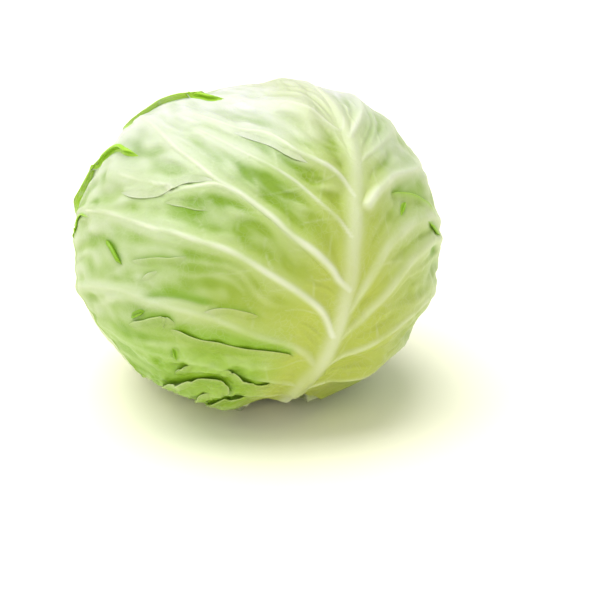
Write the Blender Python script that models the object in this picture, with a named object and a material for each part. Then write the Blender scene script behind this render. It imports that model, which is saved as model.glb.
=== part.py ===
"""A round, tight head of cabbage, lying tilted on a table with its cut stem toward the front and down.

Metres, +Z up, +X to the right as seen from the front. The origin is on the table, under the middle
of the head's box. The head is a dense ball of closed leaves, wrapped by five outer leaves that grow
from a short cut stem and lie over each other. Each of those is its own thin waved solid, with a
raised midrib and side veins on its outer face. The head is pressed flat where it lies on the table.

The leaves are built from the inside out. A leaf is laid out as a flat sheet of rows that run from
its midrib to its margin, the sheet is wrapped round the head, and each point is then raised until
the leaf clears everything below it.
"""
import math
from dataclasses import dataclass

import bmesh
import bpy
import numpy as np
from mathutils import Vector
from mathutils.bvhtree import BVHTree

MM = 0.001

# The head as a whole: across, and from stem to crown
HEAD_WIDTH = 175.0 * MM
HEAD_LENGTH = 153.4 * MM
WRAPPER_DEPTH = 8.0 * MM
STEM_DIMPLE_DEPTH = 7.0 * MM
STEM_DIMPLE_ANGLE = math.radians(20.0)

# Flatter and fuller places on the ball: toward x, y, z, then how wide and how high
HEAD_LUMPS = (
    ((0.93, 0.14, 0.34), math.radians(24.0), -4.0 * MM),
    ((0.45, 0.33, 0.83), math.radians(16.0), -2.5 * MM),
    ((-0.66, 0.28, 0.70), math.radians(20.0), -4.0 * MM),
    ((-0.96, 0.05, 0.15), math.radians(20.0), -4.5 * MM),
    ((-0.79, -0.20, -0.50), math.radians(18.0), 1.5 * MM),
    ((0.80, -0.35, -0.45), math.radians(26.0), 2.0 * MM),
    ((0.30, 0.90, 0.10), math.radians(30.0), 1.5 * MM),
)

# Leaves of the ball that overlap at the crown: turn, lean from the crown, reach and step
CROWN_FOLDS = (
    (math.radians(200.0), math.radians(70.0), math.radians(82.0), 1.3 * MM),
    (math.radians(60.0), math.radians(78.0), math.radians(74.0), 1.3 * MM),
    (math.radians(-45.0), math.radians(62.0), math.radians(66.0), 1.5 * MM),
)
CROWN_FOLD_EDGE = 4.0 * MM

# How it lies: the stem points down, forward and a little to the right
STEM_AXIS = np.array((0.100, -0.499, -0.861))
STEM_AXIS = STEM_AXIS / np.linalg.norm(STEM_AXIS)
CROWN_AXIS = -STEM_AXIS
DOWN = np.array((0.0, 0.0, -1.0))
FRONT_MIDRIB_POINT = np.array((41.5 * MM, -71.2 * MM, 28.3 * MM))
PRESSED_DEPTH = 2.6 * MM
PRESSED_EASE = 4.5 * MM
PRESSED_THINNING = 0.95

# Leaf sizes
BLADE_THICKNESS = 1.0 * MM
BASE_THICKNESS = 2.0 * MM
BASE_FADE = 26.0 * MM
LAYER_GAP = 0.45 * MM
MIDRIB_HALF_WIDTH_BASE = 11.5 * MM
MIDRIB_HALF_WIDTH_TIP = 2.6 * MM
MIDRIB_HEIGHT_BASE = 3.6 * MM
MIDRIB_HEIGHT_TIP = 0.9 * MM
MIDRIB_WIDTH_POWER = 0.6
MIDRIB_HEIGHT_POWER = 0.7
MIDRIB_SHOULDER = 0.55
MIDRIB_WIDEST_SHARE = 0.35
VEIN_HEIGHT = 2.3 * MM
VEIN_FADE = 0.7
VEIN_WIDEST_SPAN = 0.4
VEIN_HALF_WIDTH = 4.0 * MM
WAVE_HEIGHT = 0.9 * MM
RUFFLE_HEIGHT = 1.2 * MM
RUFFLES_PER_ROW = 0.73
LIFTED_SHARE = 0.28
LEAF_RADIUS = 83.0 * MM
LEAF_FOOT = -112.5
MIDRIB_REACH = 190.0
RIB_BEND_START = -40.0
RIB_BEND_LENGTH = 120.0

# Stem
STEM_HALF_ANGLE = math.radians(11.6)
LEAF_FOOT_HALF_ANGLE = math.radians(12.0)
STEM_SEAT_HALF_ANGLE = math.radians(15.0)
STEM_COLLAR_HALF_ANGLE = math.radians(19.0)
STEM_SIDES = 32
STEM_CUT_BEVEL = 1.2 * MM
STEM_RECESS = 1.8 * MM

# Mesh density: places across the blade from midrib to margin, and round and along the ball
BLADE_COLUMNS = (0.11, 0.25, 0.42, 0.60, 0.79, 1.0)
HEAD_SEGMENTS = 44
HEAD_RINGS = 24
CROWN_CROWDING = 1.25
SHARP_EDGE_ANGLE = math.radians(38.0)

# How a leaf settles on what is below it
DRAPE_RINGS = (3.0 * MM, 6.5 * MM, 10.5 * MM, 15.0 * MM)
DRAPE_SPOKES = 8
DRAPE_SLOPE = 0.36
SETTLING_PASSES = 10
SETTLING_GAP = 0.38 * MM
SPOT_STEPS = 5
CLEARING_PASSES = 24
CLEARING_GAP = 0.35 * MM
CLEARING_STEP = 0.2 * MM
FAR_OUTSIDE = 200.0 * MM

# Colours
BALL_COLOUR = (0.80, 0.86, 0.62, 1.0)
STEM_COLOUR = (0.83, 0.84, 0.66, 1.0)
FRONT_COLOUR = (0.60, 0.74, 0.36, 1.0)
LIGHT_LEAF_COLOUR = (0.68, 0.79, 0.48, 1.0)
GREEN_LEAF_COLOUR = (0.64, 0.77, 0.43, 1.0)
WAX_ROUGHNESS = 0.42


@dataclass(frozen=True)
class Row:
    """One line across the leaf blade, from the midrib to the margin, on both sides.

    Places are millimetres on the flat sheet, from the leaf's middle: outward from the midrib, and
    along it toward the crown. Each side has a bend, a margin and how far the margin is lifted.
    """

    start: float
    left_bend: tuple
    left_end: tuple
    left_lift: float
    right_bend: tuple
    right_end: tuple
    right_lift: float
    vein: bool = False


@dataclass(frozen=True)
class Leaf:
    """One wrapper leaf: its turn about the stem, its rows and its place in the pressed stack."""

    name: str
    turn: float
    rows: tuple
    rib_bend: float
    press_level: int
    seed: int
    colour: tuple


@dataclass
class Sheet:
    """A leaf's points on the flat sheet, what is added to each, and the triangles between them."""

    points: np.ndarray
    relief: np.ndarray
    lift: np.ndarray
    thickness: np.ndarray
    triangles: list
    rim: list


# The front leaf: crumpled at its lower left, torn at its upper left, with a midrib that forks low
FRONT_ROWS = (
    Row(-112.5, (20, -110), (60, -130), 2.0, (18, -110), (50, -124), 1.0),
    Row(-108, (28, -107), (73, -117), 5.5, (26, -107), (66, -115), 1.5),
    Row(-103, (36, -103), (88, -111), 2.0, (34, -103), (82, -108), 1.0),
    Row(-96, (42, -94), (101, -104), 5.0, (39, -94), (94, -98), 1.5),
    Row(-88, (48, -84), (116, -92), 2.0, (44, -84), (104, -86), 1.0, True),
    Row(-71, (70, -42), (142, -34), 1.5, (50, -56), (120, -50), 1.0, True),
    Row(-52, (62, -8), (151, 42), 3.0, (40, -12), (130, -6), 1.0, True),
    Row(-44, (64, 10), (129, 70), 2.0, (38, -6), (129, 6), 1.5),
    Row(-38, (58, 18), (97, 56), 1.0, (35, 0), (128, 14), 1.5),
    Row(-33, (58, 10), (98, 100), 1.5, (32, 4), (126, 22), 1.5, True),
    Row(-5, (46, 8), (77, 109), 2.5, (32, 18), (108, 58), 2.0, True),
    Row(12, (34, 34), (56, 98), 2.0, (26, 34), (80, 88), 1.5, True),
    Row(34, (14, 58), (31, 108), 1.0, (28, 62), (58, 106), 1.0, True),
    Row(58, (2, 88), (10, 116), 1.0, (22, 86), (34, 114), 1.0),
    Row(78, (-10, 98), (-13, 118), 1.0, (10, 98), (13, 118), 1.0),
)

# The other wrappers share one pattern for both sides: start, bend, margin and whether it is a vein
PLAIN_ROWS = (
    (-112.5, (20, -110), (54, -124), False),
    (-102, (36, -104), (88, -114), False),
    (-86, (48, -82), (114, -86), True),
    (-66, (56, -50), (128, -50), True),
    (-44, (56, -22), (136, -8), True),
    (-20, (48, 4), (126, 34), True),
    (4, (38, 30), (104, 72), True),
    (28, (26, 56), (76, 100), True),
    (52, (12, 84), (42, 116), False),
    (72, (0, 100), (0, 122), False),
)
PLAIN_MARGIN_SHIFT = 5.0
PLAIN_MARGIN_RISE = 4.0
PLAIN_LIFTS = (0.3, 1.6)


def plain_rows(seed, left_spread, right_spread, tip):
    """Rows of a plain wrapper leaf, with its margin waved by seeded draws."""
    draws = np.random.default_rng(seed)
    rows = []
    for start, bend, end, vein in PLAIN_ROWS:
        rise = (tip - 1.0) * max(end[1], 0.0)
        sides = []
        for spread in (left_spread, right_spread):
            wander = PLAIN_MARGIN_SHIFT if end[0] > 0 else 0.0
            climb = PLAIN_MARGIN_RISE if end[0] > 0 else 0.0
            margin = (end[0] * spread + draws.uniform(-wander, wander),
                      end[1] + rise + draws.uniform(-climb, climb))
            sides.append(((bend[0] * spread, bend[1]), margin, draws.uniform(*PLAIN_LIFTS)))
        rows.append(Row(start, *sides[0], *sides[1], vein))
    return tuple(rows)


# From the innermost to the outermost, as they grew
LEAVES = (
    Leaf("leaf_back", math.radians(125.0), plain_rows(11, 0.98, 0.98, 0.99), 4.0, 1, 21,
         GREEN_LEAF_COLOUR),
    Leaf("leaf_left", math.radians(-75.0), plain_rows(12, 1.02, 0.98, 0.98), -4.0, 2, 22,
         LIGHT_LEAF_COLOUR),
    Leaf("leaf_right", math.radians(75.0), plain_rows(13, 0.95, 1.04, 0.95), 3.0, 3, 23,
         GREEN_LEAF_COLOUR),
    Leaf("leaf_back_left", math.radians(-150.0), plain_rows(14, 1.06, 0.94, 0.96), -5.0, 4, 24,
         LIGHT_LEAF_COLOUR),
    Leaf("leaf_front", 0.0, FRONT_ROWS, 13.0, 4, 25, FRONT_COLOUR),
)


def clear_scene():
    """Remove whatever objects the file starts with."""
    for thing in list(bpy.data.objects):
        bpy.data.objects.remove(thing, do_unlink=True)


def head_frame():
    """Two directions square to the stem axis: toward the front midrib, and to its right."""
    toward = FRONT_MIDRIB_POINT - CROWN_AXIS * (FRONT_MIDRIB_POINT @ CROWN_AXIS)
    toward = toward / np.linalg.norm(toward)
    return toward, np.cross(CROWN_AXIS, toward)


TOWARD_FRONT, TOWARD_RIGHT = head_frame()


def lengths(vectors):
    """Length of each vector in a list."""
    return np.linalg.norm(vectors, axis=1)


def angle_from(directions, axis):
    """Angle of each direction from an axis, in radians."""
    return np.arccos(np.clip(directions @ axis, -1.0, 1.0))


def turned_direction(turn, lean):
    """Direction that leans from the crown toward a turn about the stem axis."""
    outward = TOWARD_FRONT * math.cos(turn) + TOWARD_RIGHT * math.sin(turn)
    return CROWN_AXIS * math.cos(lean) + outward * math.sin(lean)


def ball_radius(directions):
    """Distance to the dense inner ball: flattened, dimpled at the stem, with its leaves in relief."""
    along = directions @ CROWN_AXIS
    half_width = HEAD_WIDTH / 2.0 - WRAPPER_DEPTH
    half_length = HEAD_LENGTH / 2.0 - WRAPPER_DEPTH
    radius = 1.0 / np.sqrt((1.0 - along ** 2) / half_width ** 2 + along ** 2 / half_length ** 2)
    from_stem = angle_from(directions, STEM_AXIS)
    radius = radius - STEM_DIMPLE_DEPTH * np.exp(-(from_stem / STEM_DIMPLE_ANGLE) ** 2)
    for toward, spread, height in HEAD_LUMPS:
        away = angle_from(directions, np.array(toward) / np.linalg.norm(toward))
        radius = radius + height * np.exp(-(away / spread) ** 2)
    for turn, lean, reach, step in CROWN_FOLDS:
        inside = (reach - angle_from(directions, turned_direction(turn, lean))) * LEAF_RADIUS
        edge = np.clip(inside / CROWN_FOLD_EDGE + 0.5, 0.0, 1.0)
        radius = radius + step * edge * edge * (3.0 - 2.0 * edge)
    return radius


def press(directions, radius, depth):
    """Keep a surface from reaching below a level plane that lies depth below the middle."""
    down = np.maximum(directions @ DOWN, 1e-3)
    return np.minimum(radius, depth / down)


def press_softly(directions, radius, depth):
    """Press as above, with the bend at the rim of the flat spot eased."""
    level = depth / np.maximum(directions @ DOWN, 1e-3)
    near = np.clip(1.0 - np.abs(radius - level) / PRESSED_EASE, 0.0, 1.0)
    return np.minimum(radius, level) - near * near * PRESSED_EASE / 4.0


def press_depth(level):
    """Depth below the middle of the pressed outer face of a leaf, counted outward from the ball."""
    ball = float(ball_radius(DOWN[None, :])[0]) - PRESSED_DEPTH
    return ball + level * (BLADE_THICKNESS + LAYER_GAP) * PRESSED_THINNING


def stem_seat_depth():
    """Distance from the middle of the head to the flat seat that the stem stands on."""
    ring = turned_direction(0.0, math.pi - STEM_HALF_ANGLE)
    return float(ball_radius(ring[None, :])[0]) * math.cos(STEM_HALF_ANGLE)


def wrap_directions(turn, points):
    """Directions, from the middle of the head, of points on a leaf's flat sheet."""
    outward = TOWARD_FRONT * math.cos(turn) + TOWARD_RIGHT * math.sin(turn)
    across = TOWARD_RIGHT * math.cos(turn) - TOWARD_FRONT * math.sin(turn)
    reach = lengths(points)
    unit = points / np.maximum(reach, 1e-9)[:, None]
    angle = reach / LEAF_RADIUS
    directions = np.cos(angle)[:, None] * outward
    directions = directions + (np.sin(angle) * unit[:, 0])[:, None] * across
    directions = directions + (np.sin(angle) * unit[:, 1])[:, None] * CROWN_AXIS
    return clear_of_stem(directions)


def clear_of_stem(directions):
    """Move directions that fall on the stem out to the ring where the leaf feet end."""
    sideways = directions - (directions @ STEM_AXIS)[:, None] * STEM_AXIS
    sideways = sideways / np.maximum(lengths(sideways), 1e-9)[:, None]
    ring = STEM_AXIS * math.cos(LEAF_FOOT_HALF_ANGLE) + sideways * math.sin(LEAF_FOOT_HALF_ANGLE)
    near = angle_from(directions, STEM_AXIS) < LEAF_FOOT_HALF_ANGLE
    return np.where(near[:, None], ring, directions)


def blend_rows(rows, place, side):
    """Start, bend, margin and lift of a row at a fractional place between two given rows."""
    low = min(int(place), len(rows) - 2)
    share = place - low
    values = []
    for row in (rows[low], rows[low + 1]):
        if side < 0:
            values.append((row.start, *row.left_bend, *row.left_end, row.left_lift))
        else:
            values.append((row.start, *row.right_bend, *row.right_end, row.right_lift))
    return np.array(values[0]) * (1.0 - share) + np.array(values[1]) * share


def row_point(values, middle, share):
    """Place on a row at a share of the way from midrib to margin, along a smooth curve."""
    start, bend_x, bend_y, end_x, end_y = values[:5]
    rest = 1.0 - share
    x = rest * rest * middle + 2.0 * rest * share * bend_x + share * share * end_x
    y = rest * rest * start + 2.0 * rest * share * bend_y + share * share * end_y
    return np.array((x, y))


def vein_span(rows, number, step):
    """Share of the way to the next row over which a vein's ridge falls to the blade."""
    spacing = 0.0
    for side in (-1, 1):
        here = row_point(blend_rows(rows, number, side), 0.0, 0.5)
        there = row_point(blend_rows(rows, number + step, side), 0.0, 0.5)
        spacing += 0.5 * np.linalg.norm(there - here) * MM
    return min(VEIN_HALF_WIDTH / spacing, VEIN_WIDEST_SPAN)


def row_places(rows):
    """Row positions in the mesh: each row, one between each two, and two close to each vein."""
    places = []
    last = len(rows) - 1
    for number, row in enumerate(rows):
        if row.vein:
            places.append(number - vein_span(rows, number, -1))
        places.append(float(number))
        if row.vein:
            places.append(number + vein_span(rows, number, 1))
        if number < last:
            places.append(number + 0.5)
    return places


def midrib_half_width(along):
    """Half the midrib's width at a place along it."""
    share = min((along - LEAF_FOOT) / MIDRIB_REACH, 1.0) ** MIDRIB_WIDTH_POWER
    return MIDRIB_HALF_WIDTH_BASE + (MIDRIB_HALF_WIDTH_TIP - MIDRIB_HALF_WIDTH_BASE) * share


def midrib_height(along):
    """How far the midrib stands out of the blade at a place along it."""
    share = min((along - LEAF_FOOT) / MIDRIB_REACH, 1.0) ** MIDRIB_HEIGHT_POWER
    return MIDRIB_HEIGHT_BASE + (MIDRIB_HEIGHT_TIP - MIDRIB_HEIGHT_BASE) * share


def midrib_offset(leaf, along):
    """Sideways bend of the midrib, which grows toward its tip."""
    rise = max(along - RIB_BEND_START, 0.0) / RIB_BEND_LENGTH
    return leaf.rib_bend * rise * rise


def leaf_row(leaf, place, side):
    """One row of points, each with its place, relief, lift and thickness."""
    values = blend_rows(leaf.rows, place, side)
    start, lift = values[0], values[5] * MM
    middle = side * midrib_offset(leaf, start)
    length = math.hypot(values[3] - middle, values[4] - start) * MM
    edge = min(midrib_half_width(start) / length, MIDRIB_WIDEST_SHARE)
    shares = [0.0, edge * MIDRIB_SHOULDER, edge]
    shares += [edge + (1.0 - edge) * column for column in BLADE_COLUMNS]
    on_vein = place == round(place) and leaf.rows[round(place)].vein
    ruffle = 0.5 + 0.5 * math.sin(math.tau * place * RUFFLES_PER_ROW + leaf.seed + side)
    lift += RUFFLE_HEIGHT * ruffle
    row = []
    for share in shares:
        x, y = row_point(values, middle, share)
        relief = midrib_height(start) * max(1.0 - (share / edge) ** 2, 0.0)
        if on_vein and share >= edge:
            relief = VEIN_HEIGHT * (1.0 - VEIN_FADE * share)
        raised = max((share - 1.0 + LIFTED_SHARE) / LIFTED_SHARE, 0.0) ** 2
        from_foot = math.hypot(x, y - LEAF_FOOT) * MM
        swell = (BASE_THICKNESS - BLADE_THICKNESS) * math.exp(-from_foot / BASE_FADE)
        row.append((side * x * MM, y * MM, relief, lift * raised, BLADE_THICKNESS + swell))
    return row


def leaf_sheet(leaf):
    """All points of a leaf and its triangles. The two sides share the midrib and the last row."""
    places = row_places(leaf.rows)
    top = len(places) - 1
    edge = 2 + len(BLADE_COLUMNS)
    index = {}
    data = []
    for side in (-1, 1):
        for number, place in enumerate(places):
            for column, values in enumerate(leaf_row(leaf, place, side)):
                if side > 0 and (column == 0 or number == top):
                    index[(side, number, column)] = index[(-side, number, column)]
                else:
                    index[(side, number, column)] = len(data)
                    data.append(values)
    triangles = []
    for side in (-1, 1):
        for number in range(top):
            for column in range(edge):
                a = index[(side, number, column)]
                b = index[(side, number, column + 1)]
                c = index[(side, number + 1, column + 1)]
                d = index[(side, number + 1, column)]
                triangles += [(a, b, c), (a, c, d)] if side > 0 else [(d, c, b), (d, b, a)]
    rim = [index[(-1, 0, column)] for column in range(edge + 1)]
    rim += [index[(-1, number, edge)] for number in range(1, top + 1)]
    rim += [index[(1, number, edge)] for number in range(top - 1, -1, -1)]
    rim += [index[(1, 0, column)] for column in range(edge - 1, 0, -1)]
    table = np.array(data)
    return Sheet(table[:, 0:2], table[:, 2], table[:, 3], table[:, 4], triangles, rim)


def swell_of_blade(leaf, points):
    """Gentle waves of the whole blade, always outward, from a few seeded sine waves."""
    draws = np.random.default_rng(leaf.seed)
    total = np.zeros(len(points))
    for _ in range(3):
        heading = draws.uniform(0.0, math.tau)
        length = draws.uniform(28.0, 55.0) * MM
        phase = draws.uniform(0.0, math.tau)
        run = points[:, 0] * math.cos(heading) + points[:, 1] * math.sin(heading)
        total += np.sin(run * math.tau / length + phase)
    return WAVE_HEIGHT * (total / 6.0 + 0.5)


def support_radius(tree, directions):
    """Radius of the outermost surface below each direction, or zero where there is none."""
    found = np.zeros(len(directions))
    for number, direction in enumerate(directions):
        way = Vector(direction)
        hit = tree.ray_cast(way * FAR_OUTSIDE, -way)[0]
        if hit is not None:
            found[number] = hit.length
    return found


def drape(tree, directions):
    """Radius at which a sheet lies on what is below, falling away gently from raised edges."""
    seat = support_radius(tree, directions)
    side = np.cross(directions, CROWN_AXIS)
    side = side / np.maximum(lengths(side), 1e-6)[:, None]
    other = np.cross(directions, side)
    for reach in DRAPE_RINGS:
        for spoke in range(DRAPE_SPOKES):
            turn = math.tau * spoke / DRAPE_SPOKES
            shift = (side * math.cos(turn) + other * math.sin(turn)) * (reach / LEAF_RADIUS)
            moved = directions + shift
            moved = moved / lengths(moved)[:, None]
            seat = np.maximum(seat, support_radius(tree, moved) - DRAPE_SLOPE * reach)
    return seat


def triangle_spots():
    """Evenly spread places inside a triangle, as shares of its three corners."""
    return [(a / SPOT_STEPS, b / SPOT_STEPS, (SPOT_STEPS - a - b) / SPOT_STEPS)
            for a in range(SPOT_STEPS + 1) for b in range(SPOT_STEPS + 1 - a)]


def settle(tree, directions, radius, triangles, depth):
    """Raise the points of any triangle that comes too near what is below, but not past the table."""
    corners = np.array(triangles)
    radius = press(directions, radius, depth)
    for _ in range(SETTLING_PASSES):
        places = directions * radius[:, None]
        lack = np.zeros(len(radius))
        for spot in triangle_spots():
            middle = sum(places[corners[:, corner]] * spot[corner] for corner in range(3))
            reach = lengths(middle)
            below = support_radius(tree, middle / reach[:, None])
            need = np.where(below > 0.0, below + SETTLING_GAP - reach, 0.0)
            for corner in range(3):
                if spot[corner] > 0.0:
                    np.maximum.at(lack, corners[:, corner], need)
        if lack.max() <= 0.0:
            break
        radius = press(directions, radius + lack, depth)
    return radius


def clear_ridges(tree, directions, radius, triangles, depth):
    """Raise any triangle that still cuts a ridge of what is below, a little at a time."""
    corners = np.array(triangles)
    for _ in range(CLEARING_PASSES):
        lowered = directions * (radius - CLEARING_GAP)[:, None]
        sheet = BVHTree.FromPolygons([tuple(point) for point in lowered], triangles)
        touching = sorted({pair[0] for pair in sheet.overlap(tree)})
        if not touching:
            break
        radius = radius.copy()
        radius[np.unique(corners[touching])] += CLEARING_STEP
        radius = press(directions, radius, depth)
    return radius


def waxy_material(name, colour):
    """Waxy surface in the piece's own colour."""
    material = bpy.data.materials.new(name)
    material.use_nodes = True
    shader = material.node_tree.nodes["Principled BSDF"]
    shader.inputs["Base Color"].default_value = colour
    shader.inputs["Roughness"].default_value = WAX_ROUGHNESS
    shader.inputs["Metallic"].default_value = 0.0
    return material


def solid(name, points, faces, colour):
    """A named, smooth-shaded object with its own material, its faces pointing out."""
    mesh = bpy.data.meshes.new(name)
    mesh.from_pydata([tuple(point) for point in points], [], faces)
    shape = bmesh.new()
    shape.from_mesh(mesh)
    bmesh.ops.recalc_face_normals(shape, faces=shape.faces)
    shape.to_mesh(mesh)
    shape.free()
    mesh.materials.append(waxy_material(name, colour))
    mesh.shade_smooth()
    mesh.set_sharp_from_angle(angle=SHARP_EDGE_ANGLE)
    thing = bpy.data.objects.new(name, mesh)
    bpy.context.scene.collection.objects.link(thing)
    return thing


def make_ball():
    """The tight ball of inner leaves, with a flat seat for the stem."""
    rings = []
    for ring in range(1, HEAD_RINGS):
        lean = math.pi * (ring / HEAD_RINGS) ** CROWN_CROWDING
        rings += [turned_direction(math.tau * side / HEAD_SEGMENTS, lean)
                  for side in range(HEAD_SEGMENTS)]
    directions = np.array([CROWN_AXIS] + rings + [STEM_AXIS])
    seat = stem_seat_depth() / np.maximum(directions @ STEM_AXIS, 1e-3)
    at_stem = angle_from(directions, STEM_AXIS) < STEM_SEAT_HALF_ANGLE
    radius = np.where(at_stem, seat, ball_radius(directions))
    radius = press_softly(directions, radius, press_depth(0))
    last = len(directions) - 1
    faces = []
    for side in range(HEAD_SEGMENTS):
        after = (side + 1) % HEAD_SEGMENTS
        faces.append((0, 1 + side, 1 + after))
        for ring in range(HEAD_RINGS - 2):
            upper = 1 + ring * HEAD_SEGMENTS
            lower = upper + HEAD_SEGMENTS
            faces.append((upper + side, lower + side, lower + after))
            faces.append((upper + side, lower + after, upper + after))
        foot = 1 + (HEAD_RINGS - 2) * HEAD_SEGMENTS
        faces.append((foot + side, last, foot + after))
    return solid("closed_head", directions * radius[:, None], faces, BALL_COLOUR)


def make_leaf(leaf, tree):
    """A wrapper leaf that lies on everything below it."""
    sheet = leaf_sheet(leaf)
    directions = wrap_directions(leaf.turn, sheet.points)
    depth = press_depth(leaf.press_level)
    inner_depth = depth - BLADE_THICKNESS * PRESSED_THINNING
    inner = drape(tree, directions) + LAYER_GAP + sheet.lift + swell_of_blade(leaf, sheet.points)
    inner = settle(tree, directions, inner, sheet.triangles, inner_depth)
    inner = clear_ridges(tree, directions, inner, sheet.triangles, inner_depth)
    outer = press(directions, inner + sheet.thickness + sheet.relief, depth)
    count = len(directions)
    points = np.concatenate((directions * outer[:, None], directions * inner[:, None]))
    faces = list(sheet.triangles)
    faces += [(c + count, b + count, a + count) for a, b, c in sheet.triangles]
    for here, after in zip(sheet.rim, sheet.rim[1:] + sheet.rim[:1]):
        faces.append((here, after, after + count))
        faces.append((here, after + count, here + count))
    return solid(leaf.name, points, faces, leaf.colour)


def make_stem(leaf_points):
    """The cut stump: a short blunt cone that widens outward, with an eased rim at the cut."""
    seat = stem_seat_depth() + LAYER_GAP
    unit = leaf_points / lengths(leaf_points)[:, None]
    collar = leaf_points[angle_from(unit, STEM_AXIS) < STEM_COLLAR_HALF_ANGLE]
    cut = float((collar @ STEM_AXIS).max()) - STEM_RECESS
    slope = math.tan(STEM_HALF_ANGLE)
    shoulder = cut - STEM_CUT_BEVEL
    profile = ((seat, seat * slope), (shoulder, shoulder * slope), (cut, cut * slope - STEM_CUT_BEVEL))
    points = []
    for along, radius in profile:
        for side in range(STEM_SIDES):
            outward = turned_direction(math.tau * side / STEM_SIDES, math.pi / 2.0)
            points.append(STEM_AXIS * along + outward * radius)
    faces = []
    for ring in range(len(profile) - 1):
        for side in range(STEM_SIDES):
            after = (side + 1) % STEM_SIDES
            inner = ring * STEM_SIDES
            outer = inner + STEM_SIDES
            faces.append((inner + side, outer + side, outer + after, inner + after))
    last_ring = (len(profile) - 1) * STEM_SIDES
    faces.append(tuple(range(STEM_SIDES)))
    faces.append(tuple(range(last_ring + STEM_SIDES - 1, last_ring - 1, -1)))
    return solid("stem", points, faces, STEM_COLOUR)


def tree_of(things):
    """A search tree over the faces of several pieces, before they are set on the table."""
    points = []
    faces = []
    for thing in things:
        first = len(points)
        points.extend(vertex.co.copy() for vertex in thing.data.vertices)
        faces.extend(tuple(first + corner for corner in face.vertices) for face in thing.data.polygons)
    return BVHTree.FromPolygons(points, faces)


def points_of(things):
    """All points of several pieces, before they are set on the table."""
    return np.array([vertex.co[:] for thing in things for vertex in thing.data.vertices])


def set_on_table(things):
    """Move all pieces so that the origin is on the table, under the middle of their box."""
    points = points_of(things)
    low = points.min(axis=0)
    high = points.max(axis=0)
    for thing in things:
        thing.location = (-(low[0] + high[0]) / 2.0, -(low[1] + high[1]) / 2.0, -low[2])


def main():
    """Build the head from the inside out, then its stem, and set it on the table."""
    clear_scene()
    pieces = [make_ball()]
    for leaf in LEAVES:
        pieces.append(make_leaf(leaf, tree_of(pieces)))
    pieces.append(make_stem(points_of(pieces[1:])))
    set_on_table(pieces)


main()
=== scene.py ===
"""A round, tight head of cabbage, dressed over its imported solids.

Every wrapper leaf, the closed ball and the cut stem are made again as fine meshes that keep the form
of the solids they stand for. A leaf is laid out as a flat sheet of rows that run from its midrib to
its margin. The sheet is wrapped round the head, seated on what lies below it, and given its ribs,
veins, hollows, creases, torn places and rolled edges. Leaves are made from the inside out, so that
each one lies on the finished surface of those below. Lengths are millimetres about the middle of
the head until a mesh is made, and metres in the row's frame after that.
"""
import logging
import math
from dataclasses import dataclass, field
from enum import Enum

import bpy
import numpy as np
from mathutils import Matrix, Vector
from mathutils.bvhtree import BVHTree
from mathutils.kdtree import KDTree

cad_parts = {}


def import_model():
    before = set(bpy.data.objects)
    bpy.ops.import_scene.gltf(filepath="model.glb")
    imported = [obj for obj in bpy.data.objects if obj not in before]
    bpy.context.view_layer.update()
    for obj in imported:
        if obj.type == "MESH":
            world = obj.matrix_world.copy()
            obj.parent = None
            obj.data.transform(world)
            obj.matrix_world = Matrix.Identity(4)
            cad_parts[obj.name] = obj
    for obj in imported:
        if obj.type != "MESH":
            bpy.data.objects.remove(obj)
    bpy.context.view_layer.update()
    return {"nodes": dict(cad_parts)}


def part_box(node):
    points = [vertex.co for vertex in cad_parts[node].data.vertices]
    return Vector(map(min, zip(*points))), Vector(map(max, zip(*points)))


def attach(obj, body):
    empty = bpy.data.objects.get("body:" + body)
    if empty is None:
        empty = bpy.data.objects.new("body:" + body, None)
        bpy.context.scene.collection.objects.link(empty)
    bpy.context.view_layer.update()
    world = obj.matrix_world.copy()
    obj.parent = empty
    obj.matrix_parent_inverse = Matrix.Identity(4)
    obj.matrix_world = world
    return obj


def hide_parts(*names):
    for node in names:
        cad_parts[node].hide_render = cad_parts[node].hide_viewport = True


LOG = logging.getLogger("head_cabbage")
MM = 0.001
Colour = tuple[float, float, float]


def lengths(vectors: np.ndarray) -> np.ndarray:
    """Length of each vector along the last axis."""
    return np.sqrt(np.sum(vectors * vectors, axis=-1))


def unit(vectors: np.ndarray) -> np.ndarray:
    """The same vectors with a length of one."""
    return vectors / np.maximum(lengths(vectors), 1e-9)[..., None]


def step_between(values: np.ndarray, low: float, high: float) -> np.ndarray:
    """Smooth rise from 0 at low to 1 at high, or a fall where low is the larger.

    Args:
        values: what is measured.
        low: where the rise starts.
        high: where it ends.

    Returns:
        Values from 0 to 1.
    """
    share = np.clip((values - low) / (high - low), 0.0, 1.0)
    return share * share * (3.0 - 2.0 * share)


def soft_max(one: np.ndarray, other: np.ndarray, ease: float) -> np.ndarray:
    """The larger of two fields, with the crease between them eased over a height."""
    near = np.clip(0.5 + 0.5 * (one - other) / ease, 0.0, 1.0)
    return other + (one - other) * near + ease * near * (1.0 - near)


def ripple(places: np.ndarray, wavelength: float, seed: int, waves: int = 7) -> np.ndarray:
    """Smooth seeded noise between about -1 and 1, with no direction of its own.

    Args:
        places: points on the flat sheet or in space, in millimetres.
        wavelength: mean length of a wave, in millimetres.
        seed: fixes the draws.
        waves: how many sine waves are added.

    Returns:
        One value for each place.
    """
    draws = np.random.default_rng(seed)
    total = np.zeros(places.shape[:-1])
    for _ in range(waves):
        heading = unit(draws.normal(size=places.shape[-1]))
        pace = math.tau / (wavelength * draws.uniform(0.65, 1.6))
        total += np.sin(places @ heading * pace + draws.uniform(0.0, math.tau))
    return total / math.sqrt(waves)


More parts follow.
